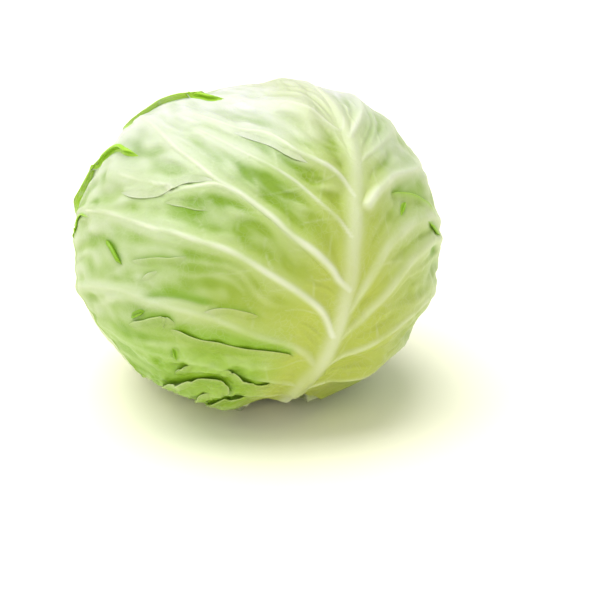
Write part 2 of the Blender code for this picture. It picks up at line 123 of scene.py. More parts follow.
def cell_lines(places: np.ndarray, size: float, seed: int) -> np.ndarray:
    """Distance to the nearest wall of a net of uneven cells, for the finest veins.

    Args:
        places: points on the flat sheet, in millimetres.
        size: mean width of a cell.
        seed: fixes where the cells lie.

    Returns:
        Distance to a wall for each place, in millimetres.
    """
    draws = np.random.default_rng(seed).uniform(0.12, 0.88, size=(64, 64, 2))
    bent = places + 0.25 * size * np.stack(
        (ripple(places, 3.0 * size, seed + 1), ripple(places, 3.0 * size, seed + 2)), axis=-1
    )
    cell = np.floor(bent / size).astype(int)
    nearest = np.full(places.shape[:-1], 1e9)
    second = nearest.copy()
    for shift_x in (-1, 0, 1):
        for shift_y in (-1, 0, 1):
            other = cell + np.array((shift_x, shift_y))
            middle = (other + draws[other[..., 0] % 64, other[..., 1] % 64]) * size
            away = lengths(bent - middle)
            second = np.minimum(second, np.maximum(nearest, away))
            nearest = np.minimum(nearest, away)
    return 0.5 * (second - nearest)


def with_neighbours(grid: np.ndarray, axis: int) -> tuple[np.ndarray, np.ndarray, np.ndarray]:
    """A grid turned so that an axis comes first, with the values before and after each of its own."""
    moved = np.moveaxis(grid, axis, 0)
    return np.concatenate((moved[:1], moved[:-1])), moved, np.concatenate((moved[1:], moved[-1:]))


def blurred(values: np.ndarray, passes: int = 1) -> np.ndarray:
    """A grid of values, smoothed so many times along both of its directions.

    Args:
        values: the grid.
        passes: how many times it is smoothed.

    Returns:
        A grid of the same size.
    """
    out = values.astype(float)
    for axis in (0, 1) * passes:
        before, moved, after = with_neighbours(out, axis)
        out = np.moveaxis(0.25 * before + 0.5 * moved + 0.25 * after, 0, axis)
    return out


def spread_maximum(values: np.ndarray) -> np.ndarray:
    """A grid in which each value is the largest of itself and its eight neighbours.

    Args:
        values: the grid.

    Returns:
        A grid of the same size.
    """
    out = values
    for axis in (0, 1):
        before, moved, after = with_neighbours(out, axis)
        out = np.moveaxis(np.maximum(np.maximum(before, moved), after), 0, axis)
    return out


def stretched(coarse: np.ndarray, times: int) -> np.ndarray:
    """A grid with straight steps put in between its values, so many to each old step.

    Args:
        coarse: the grid.
        times: new steps to each of its own.

    Returns:
        The finer grid.
    """
    out = coarse
    for axis in (0, 1):
        moved = np.moveaxis(out, axis, 0)
        count = (len(moved) - 1) * times + 1
        place = np.arange(count) / times
        low = np.minimum(place.astype(int), len(moved) - 2)
        share = (place - low).reshape((-1,) + (1,) * (moved.ndim - 1))
        out = np.moveaxis(moved[low] * (1.0 - share) + moved[low + 1] * share, 0, axis)
    return out


def smooth_line(points: tuple, step: float = 2.0) -> np.ndarray:
    """Points along a smooth curve through the given ones.

    Args:
        points: the points that it passes.
        step: distance between the new points.

    Returns:
        The new points, both ends among them.
    """
    given = np.array(points, dtype=float)
    padded = np.concatenate((2.0 * given[:1] - given[1:2], given, 2.0 * given[-1:] - given[-2:-1]))
    found = []
    for number in range(len(given) - 1):
        a, b, c, d = padded[number:number + 4]
        count = max(int(math.ceil(np.linalg.norm(c - b) / step)), 1)
        for share in np.arange(count) / count:
            found.append(0.5 * (2.0 * b + (c - a) * share
                                + (2.0 * a - 5.0 * b + 4.0 * c - d) * share ** 2
                                + (3.0 * b - a - 3.0 * c + d) * share ** 3))
    found.append(given[-1])
    return np.array(found)


class Line:
    """A smooth line on a leaf's flat sheet, which can be measured from."""

    def __init__(self, points: tuple) -> None:
        """Make the line.

        Args:
            points: the points that it passes, in millimetres on the sheet.
        """
        self.points = smooth_line(points)
        runs = lengths(np.diff(self.points, axis=0))
        self.along = np.concatenate(((0.0,), np.cumsum(runs)))
        self.length = float(self.along[-1])

    def at(self, share: float) -> tuple[np.ndarray, np.ndarray]:
        """Point and unit heading at a share of the length.

        Args:
            share: share of the way along it.

        Returns:
            The point and the heading.
        """
        target = share * self.length
        low = int(np.clip(np.searchsorted(self.along, target) - 1, 0, len(self.points) - 2))
        heading = unit(self.points[low + 1] - self.points[low])
        return self.points[low] + heading * (target - self.along[low]), heading

    def measure(self, places: np.ndarray, reach: float) -> tuple[np.ndarray, ...]:
        """How far places are from the line, how far along it they are, and on which side.

        Args:
            places: points on the sheet, one to a row.
            reach: distance past which a place needs no exact answer.

        Returns:
            Which places lie within reach, and for those the distance, the share of the length,
            and 1 on the left of the line's heading or -1 on its right.
        """
        low = self.points.min(axis=0) - reach
        high = self.points.max(axis=0) + reach
        near = np.flatnonzero(np.all((places > low) & (places < high), axis=1))
        close = places[near]
        best = np.full(len(near), 1e9)
        share = np.zeros(len(near))
        side = np.ones(len(near))
        for start, end, before, after in zip(self.points, self.points[1:], self.along, self.along[1:]):
            run = end - start
            off = close - start
            place = np.clip(off @ run / max(run @ run, 1e-9), 0.0, 1.0)
            away = lengths(off - place[:, None] * run)
            better = away < best
            best = np.where(better, away, best)
            share = np.where(better, (before + (after - before) * place) / self.length, share)
            side = np.where(better, np.where(run[0] * off[:, 1] - run[1] * off[:, 0] >= 0.0, 1.0, -1.0),
                            side)
        return near, best, share, side


@dataclass(frozen=True)
class Vein:
    """A raised vein: its path and its half width and height at both ends, in millimetres."""

    path: tuple
    half_width: tuple[float, float]
    height: tuple[float, float]
    pale: float = 1.0


@dataclass(frozen=True)
class Crease:
    """A fold in the blade: it sinks toward a line from the line's right, and a lip rises over the
    line from its left. Millimetres and degrees."""

    path: tuple
    depth: float
    run: float
    lip: float = 0.5
    # How strongly the sunk hollow is painted green: painted shade.
    green: float = 1.0
    # How strongly the line itself is painted darker: painted shade.
    painted_shade: float = 0.6
    overhang: float = 0.8
    roll: float = 70.0
    roll_radius: float = 0.6
    rim: float = 0.0
    ends: tuple[float, float] = (9.0, 9.0)

    def raised(self, share: np.ndarray, length: float) -> np.ndarray:
        """How far the fold is formed along its length, from 0 at its ends to 1.

        Args:
            share: shares of the way along it.
            length: its length.

        Returns:
            One value to each share.
        """
        start, end = (min(0.48, reach / max(length, 1.0)) for reach in self.ends)
        return np.minimum(step_between(share, 0.0, start), step_between(share, 1.0, 1.0 - end))


@dataclass(frozen=True)
class Curl:
    """How a margin rolls at one place: the row, the angle, the length of the roll and how green."""

    row: float
    degrees: float
    length: float
    green: float


@dataclass(frozen=True)
class Row:
    """One line across the leaf blade, from the midrib to the margin, on both sides.

    Places are millimetres on the flat sheet, from the leaf's middle: outward from the midrib, and
    along it toward the crown.
    """

    start: float
    left_bend: tuple[float, float]
    left_end: tuple[float, float]
    right_bend: tuple[float, float]
    right_end: tuple[float, float]
    vein: bool = False


class Side(Enum):
    """The two sides of a leaf, as seen with its crown end up."""

    LEFT = -1
    RIGHT = 1


@dataclass
class HeadForm:
    """How the head lies, and where a leaf's flat sheet falls on it."""

    middle: tuple[float, float, float] = (-0.5852, -1.3681, 73.3104)
    stem: tuple[float, float, float] = (0.100, -0.499, -0.861)
    front_midrib: tuple[float, float, float] = (41.5, -71.2, 28.3)
    leaf_radius: float = 83.0
    foot_half_angle: float = math.radians(12.0)
    kept_back: float = 2.0
    hidden_middle: tuple[float, float] = (-8.0, -20.0)
    hidden_reach: tuple[float, float] = (102.0, 90.0)
    stem_axis: np.ndarray = field(init=False)
    crown_axis: np.ndarray = field(init=False)
    toward_front: np.ndarray = field(init=False)
    toward_right: np.ndarray = field(init=False)

    def __post_init__(self) -> None:
        """Find the head's own axes."""
        self.stem_axis = unit(np.array(self.stem))
        self.crown_axis = -self.stem_axis
        midrib = np.array(self.front_midrib)
        self.toward_front = unit(midrib - self.crown_axis * (midrib @ self.crown_axis))
        self.toward_right = np.cross(self.crown_axis, self.toward_front)

    def turned(self, turn: np.ndarray, lean: np.ndarray) -> np.ndarray:
        """Directions that lean from the crown toward turns about the stem.

        Args:
            turn: angle about the stem, from the front midrib to its right.
            lean: angle from the crown.

        Returns:
            Unit directions.
        """
        turn, lean = np.broadcast_arrays(turn, lean)
        outward = np.cos(turn)[..., None] * self.toward_front
        outward = outward + np.sin(turn)[..., None] * self.toward_right
        return np.cos(lean)[..., None] * self.crown_axis + np.sin(lean)[..., None] * outward

    def wrapped(self, turn: float, places: np.ndarray) -> np.ndarray:
        """Directions from the middle of the head for places on a leaf's flat sheet.

        Args:
            turn: the leaf's turn about the stem.
            places: points on the sheet, in millimetres.

        Returns:
            Unit directions, kept off the stem.
        """
        outward = self.toward_front * math.cos(turn) + self.toward_right * math.sin(turn)
        across = self.toward_right * math.cos(turn) - self.toward_front * math.sin(turn)
        reach = lengths(places)
        heading = places / np.maximum(reach, 1e-9)[..., None]
        angle = reach / self.leaf_radius
        found = np.cos(angle)[..., None] * outward
        found = found + (np.sin(angle) * heading[..., 0])[..., None] * across
        found = found + (np.sin(angle) * heading[..., 1])[..., None] * self.crown_axis
        along = found @ self.stem_axis
        sideways = unit(found - along[..., None] * self.stem_axis)
        ring = self.stem_axis * math.cos(self.foot_half_angle) + sideways * math.sin(self.foot_half_angle)
        on_stem = along > math.cos(self.foot_half_angle)
        return np.where(on_stem[..., None], ring, found)

    def kept_under(self, directions: np.ndarray) -> np.ndarray:
        """How far the pieces under the front leaf keep back from it, where it hides them.

        Args:
            directions: unit directions from the middle of the head.

        Returns:
            Millimetres.
        """
        angle = np.arccos(np.clip(directions @ self.toward_front, -1.0, 1.0))
        sideways = np.stack((directions @ self.toward_right, directions @ self.crown_axis), axis=-1)
        places = unit(sideways) * (angle * self.leaf_radius)[..., None]
        reach = lengths((places - np.array(self.hidden_middle)) / np.array(self.hidden_reach))
        return self.kept_back * step_between(reach, 1.0, 0.8)


class NearMarks:
    """A blade's marks, looked up by place on its sheet."""

    def __init__(self, places: np.ndarray, marks: dict[str, np.ndarray]) -> None:
        """Index the blade's places.

        Args:
            places: rows by columns of points on the sheet.
            marks: a value for each place.
        """
        flat = places.reshape(-1, 2)
        self.tree = KDTree(len(flat))
        for number, (x, y) in enumerate(flat.tolist()):
            self.tree.insert((x, y, 0.0), number)
        self.tree.balance()
        self.marks = {name: values.reshape(-1) for name, values in marks.items()}

    def at(self, places: np.ndarray) -> dict[str, np.ndarray]:
        """Marks at places, mixed from the nearest three.

        Args:
            places: points on the sheet, one to a row.

        Returns:
            Marks, one value to each point.
        """
        found = [self.tree.find_n((x, y, 0.0), 3) for x, y in places.tolist()]
        numbers = np.array([[near[1] for near in three] for three in found])
        weights = 1.0 / (np.array([[near[2] for near in three] for three in found]) + 0.1)
        weights = weights / weights.sum(axis=1, keepdims=True)
        return {name: np.sum(values[numbers] * weights, axis=1) for name, values in self.marks.items()}


class Skin:
    """A closed mesh about the middle of the head, which can be measured along rays."""

    def __init__(self, points: np.ndarray, faces: list) -> None:
        """Build the search tree.

        Args:
            points: millimetres from the middle of the head.
            faces: corner numbers.
        """
        self.tree = BVHTree.FromPolygons([tuple(point) for point in points], faces)

    @classmethod
    def of_node(cls, thing: bpy.types.Object, head: HeadForm) -> "Skin":
        """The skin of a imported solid.

        Args:
            thing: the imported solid.
            head: the head's form.

        Returns:
            Its skin.
        """
        middle = np.array(head.middle)
        points = np.array([vertex.co[:] for vertex in thing.data.vertices]) / MM - middle
        return cls(points, [tuple(face.vertices) for face in thing.data.polygons])

    def outermost(self, directions: np.ndarray) -> np.ndarray:
        """Distance to the outermost surface along each direction, or 0 where there is none.

        Args:
            directions: unit directions from the middle of the head.

        Returns:
            Millimetres for each, and 0 where nothing is met.
        """
        found = np.zeros(directions.shape[:-1])
        for place in np.ndindex(found.shape):
            way = Vector(directions[place])
            hit = self.tree.ray_cast(way * 200.0, -way)[0]
            if hit is not None:
                found[place] = hit.length
        return found

    def innermost(self, directions: np.ndarray) -> np.ndarray:
        """Distance to the innermost surface along each direction, or to the nearest point.

        Args:
            directions: unit directions from the middle of the head.

        Returns:
            Millimetres for each.
        """
        found = np.zeros(directions.shape[:-1])
        for place in np.ndindex(found.shape):
            way = Vector(directions[place])
            hit = self.tree.ray_cast(Vector((0.0, 0.0, 0.0)), way)[0]
            if hit is None:
                hit = self.tree.find_nearest(way * 85.0)[0]
            found[place] = hit.length
        return found


def closed_mesh(name: str, points: np.ndarray, faces: np.ndarray, head: HeadForm,
                marks: dict[str, np.ndarray], material: bpy.types.Material) -> bpy.types.Object:
    """A smooth object at the origin, its place in its mesh and its faces pointing out.

    Args:
        name: the piece's name.
        points: millimetres from the middle of the head.
        faces: corner numbers, three to a face.
        head: the head's form.
        marks: values for each point, one or three, under the names that materials read.
        material: what it is made of.

    Returns:
        The new object, in the scene.
    """
    corners = points[faces]
    volume = np.sum(np.cross(corners[:, 0], corners[:, 1]) * corners[:, 2])
    if volume < 0.0:
        faces = faces[:, ::-1]
    mesh = bpy.data.meshes.new(name)
    mesh.from_pydata((points + np.array(head.middle)) * MM, [], faces)
    for mark, values in marks.items():
        if values.ndim == 1:
            layer = mesh.attributes.new(mark, "FLOAT", "POINT")
            layer.data.foreach_set("value", values.astype(np.float32))
        else:
            layer = mesh.attributes.new(mark, "FLOAT_VECTOR", "POINT")
            layer.data.foreach_set("vector", values.astype(np.float32).ravel())
    mesh.materials.append(material)
    mesh.shade_smooth()
    mesh.update()
    thing = bpy.data.objects.new(name, mesh)
    bpy.context.scene.collection.objects.link(thing)
    return thing


def triangles_between(upper: np.ndarray, lower: np.ndarray) -> np.ndarray:
    """Triangles of the strip between two equally long rows of corner numbers.

    Args:
        upper: corner numbers along one line.
        lower: along the next.

    Returns:
        Corner numbers, three to a face.
    """
    a, b = upper[:-1], upper[1:]
    d, c = lower[:-1], lower[1:]
    return np.concatenate((np.stack((a, d, c), axis=1), np.stack((a, c, b), axis=1)))


def ringed(rings: int, sides: int) -> np.ndarray:
    """Triangles of a closed body of rings, with its first and last poles after its rings' points.

    Args:
        rings: how many rings it has.
        sides: points in each.

    Returns:
        Corner numbers, three to a face.
    """
    grid = np.arange(rings * sides).reshape(rings, sides)
    closed = np.concatenate((grid, grid[:, :1]), axis=1)
    pole = np.full(sides, rings * sides)
    faces = [triangles_between(closed[row], closed[row + 1]) for row in range(rings - 1)]
    faces.append(np.stack((pole, closed[0, :-1], closed[0, 1:]), axis=1))
    faces.append(np.stack((closed[-1, :-1], pole + 1, closed[-1, 1:]), axis=1))
    return np.concatenate(faces)


def slab(rows: int, columns: int) -> np.ndarray:
    """Triangles of a closed slab, whose upper grid of points is followed by its lower one.

    Args:
        rows: rows of the grid.
        columns: its columns.

    Returns:
        Corner numbers, three to a face.
    """
    upper = np.arange(rows * columns).reshape(rows, columns)
    lower = upper + rows * columns
    pairs = []
    for row in range(rows - 1):
        pairs += [(upper[row], upper[row + 1]), (lower[row + 1], lower[row])]
    pairs += [(lower[0], upper[0]), (upper[-1], lower[-1]), (upper[:, 0], lower[:, 0]),
              (lower[:, -1], upper[:, -1])]
    return np.concatenate([triangles_between(one, other) for one, other in pairs])


def sewn(fine: list[int], coarse: list[int], stops: list[int]) -> list[tuple[int, int, int]]:
    """Triangles that join a fine edge to a coarser one.

    Args:
        fine: corner numbers along the fine edge.
        coarse: corner numbers along the coarse edge.
        stops: for each coarse corner, the place of its partner in the fine edge.

    Returns:
        The triangles.
    """
    found = []
    for number in range(len(coarse) - 1):
        start, end = stops[number], stops[number + 1]
        turn = (start + end) // 2
        for place in range(start, end):
            holder = coarse[number] if place < turn else coarse[number + 1]
            if place == turn:
                found.append((fine[place], coarse[number], coarse[number + 1]))
            found.append((fine[place], holder, fine[place + 1]))
    return found


def handed_over(thing: bpy.types.Object, slot: str, replaces: bool = True) -> None:
    """Tell the frame what a finished piece rides on and stands for, and report it.

    Args:
        thing: the piece.
        slot: the name of the node that it belongs to.
        replaces: whether it is shown in that node's place.
    """
    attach(thing, "root")
    if replaces:
        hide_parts(slot)
    LOG.info("%s: %d faces", thing.name, len(thing.data.polygons))


class NodeWork:
    """Short calls that build a node tree, for a material, a group or a Geometry Nodes modifier."""

    def __init__(self, tree: bpy.types.NodeTree) -> None:
        """Work on a node tree."""
        self.tree = tree

    @classmethod
    def group(cls, name: str, kind: str, inputs: dict[str, tuple], outputs: dict[str, str]) -> tuple:
        """Start a group with named sockets.

        Args:
            name: the group's name.
            kind: the type of its tree.
            inputs: socket type and default by name.
            outputs: socket type by name.

        Returns:
            The work on it, its input node and its output node.
        """
        tree = bpy.data.node_groups.new(name, kind)
        for label, (socket_type, default) in inputs.items():
            socket = tree.interface.new_socket(label, in_out="INPUT", socket_type=socket_type)
            if default is not None:
                socket.default_value = default
        for label, socket_type in outputs.items():
            tree.interface.new_socket(label, in_out="OUTPUT", socket_type=socket_type)
        return cls(tree), tree.nodes.new("NodeGroupInput").outputs, tree.nodes.new("NodeGroupOutput").inputs

    def node(self, kind: str, inputs: dict | None = None, **settings: object) -> bpy.types.Node:
        """Add a node.

        Args:
            kind: the node's type.
            inputs: values or sockets, by the input's name or number.
            settings: properties, which are set before the inputs.

        Returns:
            The node.
        """
        made = self.tree.nodes.new(kind)
        for key, value in settings.items():
            setattr(made, key, value)
        for key, value in (inputs or {}).items():
            self.feed(made.inputs[key], value)
        return made

    def feed(self, socket: bpy.types.NodeSocket, value: object) -> None:
        """Link a socket, or set its value; a colour may leave out its alpha.

        Args:
            socket: the input.
            value: a plain value or another node's output.
        """
        if isinstance(value, bpy.types.NodeSocket):
            self.tree.links.new(value, socket)
        else:
            socket.default_value = (*value, 1.0) if socket.type == "RGBA" else value

    def sum_of(self, how: str, one: object, other: object, clamp: bool = False) -> bpy.types.NodeSocket:
        """One Math node's result, kept from 0 to 1 if it is clamped."""
        return self.node("ShaderNodeMath", {0: one, 1: other}, operation=how, use_clamp=clamp).outputs[0]

    def mixed(self, share: object, one: object, other: object) -> bpy.types.NodeSocket:
        """A colour between two others, with so much of the second."""
        return self.node("ShaderNodeMix", {0: share, 6: one, 7: other}, data_type="RGBA").outputs[2]

    def ramped(self, value: object, low: float, high: float) -> bpy.types.NodeSocket:
        """A value stretched so that low becomes 0 and high becomes 1."""
        return self.node("ShaderNodeMapRange", {0: value, 1: low, 2: high},
                         interpolation_type="SMOOTHSTEP").outputs[0]


class EffectGroups:
    """Shader groups for the effects that several finishes share."""

    def __init__(self) -> None:
        """Build every group once."""
        self.net = self._fine_net()
        self.mottle = self._mottle()

    def _fine_net(self) -> bpy.types.NodeTree:
        """Net of the finest veins: a mask that is 1 on a vein and its soft height."""
        work, start, end = NodeWork.group(
            "fine_vein_net", "ShaderNodeTree",
            {"Vector": ("NodeSocketVector", None), "Cells": ("NodeSocketFloat", 200.0),
             "Bend": ("NodeSocketFloat", 0.35)},
            {"Mask": "NodeSocketFloat", "Height": "NodeSocketFloat"})
        bend = work.node("ShaderNodeTexNoise", {"Vector": start["Vector"], "Scale": 90.0, "Detail": 2.0})
        spread = work.node("ShaderNodeVectorMath",
                           {0: bend.outputs["Color"], "Scale": work.sum_of("MULTIPLY", start["Bend"], 0.02)},
                           operation="SCALE")
        moved = work.node("ShaderNodeVectorMath", {0: start["Vector"], 1: spread.outputs[0]}, operation="ADD")
        cells = work.node("ShaderNodeTexVoronoi", {"Vector": moved.outputs[0], "Scale": start["Cells"]},
                          feature="DISTANCE_TO_EDGE")
        work.feed(end["Mask"], work.ramped(cells.outputs["Distance"], 0.10, 0.0))
        work.feed(end["Height"], work.ramped(cells.outputs["Distance"], 0.35, 0.0))
        return work.tree

    def _mottle(self) -> bpy.types.NodeTree:
        """Soft uneven patches of tone, and a finer grain."""
        work, start, end = NodeWork.group(
            "leaf_mottle", "ShaderNodeTree",
            {"Vector": ("NodeSocketVector", None), "Patches": ("NodeSocketFloat", 45.0),
             "Grain": ("NodeSocketFloat", 900.0)},
            {"Patch": "NodeSocketFloat", "Grain": "NodeSocketFloat"})
        patch = work.node("ShaderNodeTexNoise", {"Vector": start["Vector"], "Scale": start["Patches"],
                                                 "Detail": 4.0, "Roughness": 0.55, "Distortion": 0.4})
        grain = work.node("ShaderNodeTexNoise", {"Vector": start["Vector"], "Scale": start["Grain"],
                                                 "Detail": 3.0, "Roughness": 0.6})
        work.feed(end["Patch"], work.ramped(patch.outputs["Fac"], 0.36, 0.66))
        work.feed(end["Grain"], grain.outputs["Fac"])
        return work.tree


@dataclass(frozen=True)
class Finish:
    """What the leaf and the stem finishes share: a soft translucent skin with a fine bump."""

    name: str
    soft_share: float = 0.22
    soft_reach: Colour = (0.0030, 0.0040, 0.0014)
    bump_depth: float = 0.0003

    def dressed(self, groups: EffectGroups) -> bpy.types.Material:
        """Build the material, with its colour, roughness and height from the finish's own masks.

        Args:
            groups: the shared shader effects.

        Returns:
            The material.
        """
        made = bpy.data.materials.new(self.name)
        made.use_nodes = True
        work = NodeWork(made.node_tree)
        shader = made.node_tree.nodes["Principled BSDF"]
        colour, rough, height, bump_share = self.masks(work, groups)
        bump = work.node("ShaderNodeBump", {"Strength": bump_share, "Distance": self.bump_depth,
                                            "Height": height})
        values = {"Base Color": colour, "Roughness": rough, "Normal": bump.outputs["Normal"],
                  "Subsurface Weight": self.soft_share, "Subsurface Radius": self.soft_reach,
                  "Subsurface Scale": 1.0, **self.gloss()}
        for name, value in values.items():
            work.feed(shader.inputs[name], value)
        return made

    def masks(self, work: NodeWork, groups: EffectGroups) -> tuple:
        """Colour, roughness, height and how strong the bump is."""
        raise NotImplementedError(self.name)

    def gloss(self) -> dict[str, float]:
        """Values of the shader's own sockets for its shine."""
        return {}


@dataclass(frozen=True)
class LeafFinish(Finish):
    """Waxy living leaf: its colours and how they are spread. Colours are linear."""

    light: Colour = (0.344, 0.467, 0.139)
    deep: Colour = (0.143, 0.275, 0.001)
    # Cream of the leaf's own pale parts; also the painted highlight toward the top and the painted sheen on
    # bumps.
    pale: Colour = (0.625, 0.65, 0.57)
    vein: Colour = (0.64, 0.665, 0.52)
    core: Colour = (0.385, 0.443, 0.066)
    # Vivid green of rolled edges; also the green painted shade in crease hollows.
    rim: Colour = (0.31, 0.56, 0.03)
    # Darker green painted shade along crease lines and rolled lip edges.
    painted_shade: Colour = (0.11, 0.225, 0.001)
    roughness: float = 0.40
    patch_share: float = 0.35
    net_share: float = 0.10

    def masks(self, work: NodeWork, groups: EffectGroups) -> tuple:
        """Colour from the leaf's marks, patches and net, with roughness and height from its grain.

        Args:
            work: the material's nodes.
            groups: the shared shader effects.

        Returns:
            Colour, roughness, height, and how strongly the height is felt.
        """
        marks = {name: work.node("ShaderNodeAttribute", attribute_name=name).outputs
                 for name in ("sheet", "vein", "hollow", "pale", "core", "rim", "painted_shade")}
        place = marks["sheet"]["Vector"]
        net = work.node("ShaderNodeGroup", {"Vector": place, "Cells": 340.0, "Bend": 0.4},
                        node_tree=groups.net).outputs
        mottle = work.node("ShaderNodeGroup", {"Vector": place, "Patches": 48.0, "Grain": 1500.0},
                           node_tree=groups.mottle).outputs
        patch = work.sum_of("MULTIPLY", mottle["Patch"], self.patch_share)
        depth = work.sum_of("ADD", marks["hollow"]["Fac"],
                            work.sum_of("SUBTRACT", patch, 0.5 * self.patch_share), True)
        lines = work.sum_of("MULTIPLY", net["Mask"],
                            work.sum_of("MULTIPLY", mottle["Patch"], self.net_share))
        colour = work.mixed(depth, self.light, self.deep)
        # Besides the leaf's own colours, the hollow and rim marks also carry the green painted shade of
        # crease hollows, the pale mark painted highlight and sheen, and the last mark the darker painted
        # shade of crease lines.
        for share, other in ((marks["pale"]["Fac"], self.pale), (marks["core"]["Fac"], self.core),
                             (lines, self.vein), (marks["vein"]["Fac"], self.vein),
                             (marks["rim"]["Fac"], self.rim), (marks["painted_shade"]["Fac"], self.painted_shade)):
            colour = work.mixed(share, colour, other)
        rough = work.sum_of("ADD", work.sum_of("MULTIPLY", mottle["Grain"], 0.16), self.roughness - 0.08)
        height = work.sum_of("ADD", work.sum_of("MULTIPLY", net["Height"], 0.5),
                             work.sum_of("MULTIPLY", mottle["Grain"], 0.6))
        return colour, rough, height, 0.3

    def gloss(self) -> dict[str, float]:
        """A thin wax over a soft shine."""
        return {"Coat Weight": 0.06, "Coat Roughness": 0.28, "Specular IOR Level": 0.28}


@dataclass(frozen=True)
class StemFinish(Finish):
    """Cut stem: cream flesh, a darker dried face and a skin with short fibres."""

    soft_share: float = 0.15
    soft_reach: Colour = (0.0030, 0.0025, 0.0012)
    flesh: Colour = (0.656, 0.656, 0.426)
    dried: Colour = (0.451, 0.361, 0.18)
    skin: Colour = (0.59, 0.639, 0.369)

    def masks(self, work: NodeWork, groups: EffectGroups) -> tuple:
        """Colour from the cut and dry marks, with roughness and height from the grain and fibres.

        Args:
            work: the material's nodes.
            groups: the shared shader effects.

        Returns:
            Colour, roughness, height, and how strongly the height is felt.
        """
        place = work.node("ShaderNodeTexCoord").outputs["Object"]
        cut, dry = (work.node("ShaderNodeAttribute", attribute_name=name).outputs["Fac"]
                    for name in ("cut", "dry"))
        mottle = work.node("ShaderNodeGroup", {"Vector": place, "Patches": 160.0, "Grain": 1800.0},
                           node_tree=groups.mottle).outputs
        fibres = work.node("ShaderNodeTexVoronoi", {"Vector": place, "Scale": 900.0}, feature="F1")
        toward_dry = work.sum_of("MULTIPLY", dry, work.ramped(mottle["Patch"], -0.3, 1.2))
        colour = work.mixed(toward_dry, work.mixed(cut, self.skin, self.flesh), self.dried)
        rough = work.sum_of("ADD", work.sum_of("MULTIPLY", mottle["Grain"], 0.25), 0.5)
        return colour, rough, work.sum_of("ADD", fibres.outputs["Distance"], mottle["Grain"]), 0.5


@dataclass
class Blade:
    """A leaf on its grid of rows by columns: places on the sheet and what is known of each."""

    places: np.ndarray
    directions: np.ndarray
    base: np.ndarray
    form: np.ndarray
    ridge: np.ndarray
    thickness: np.ndarray
    marks: dict[str, np.ndarray]


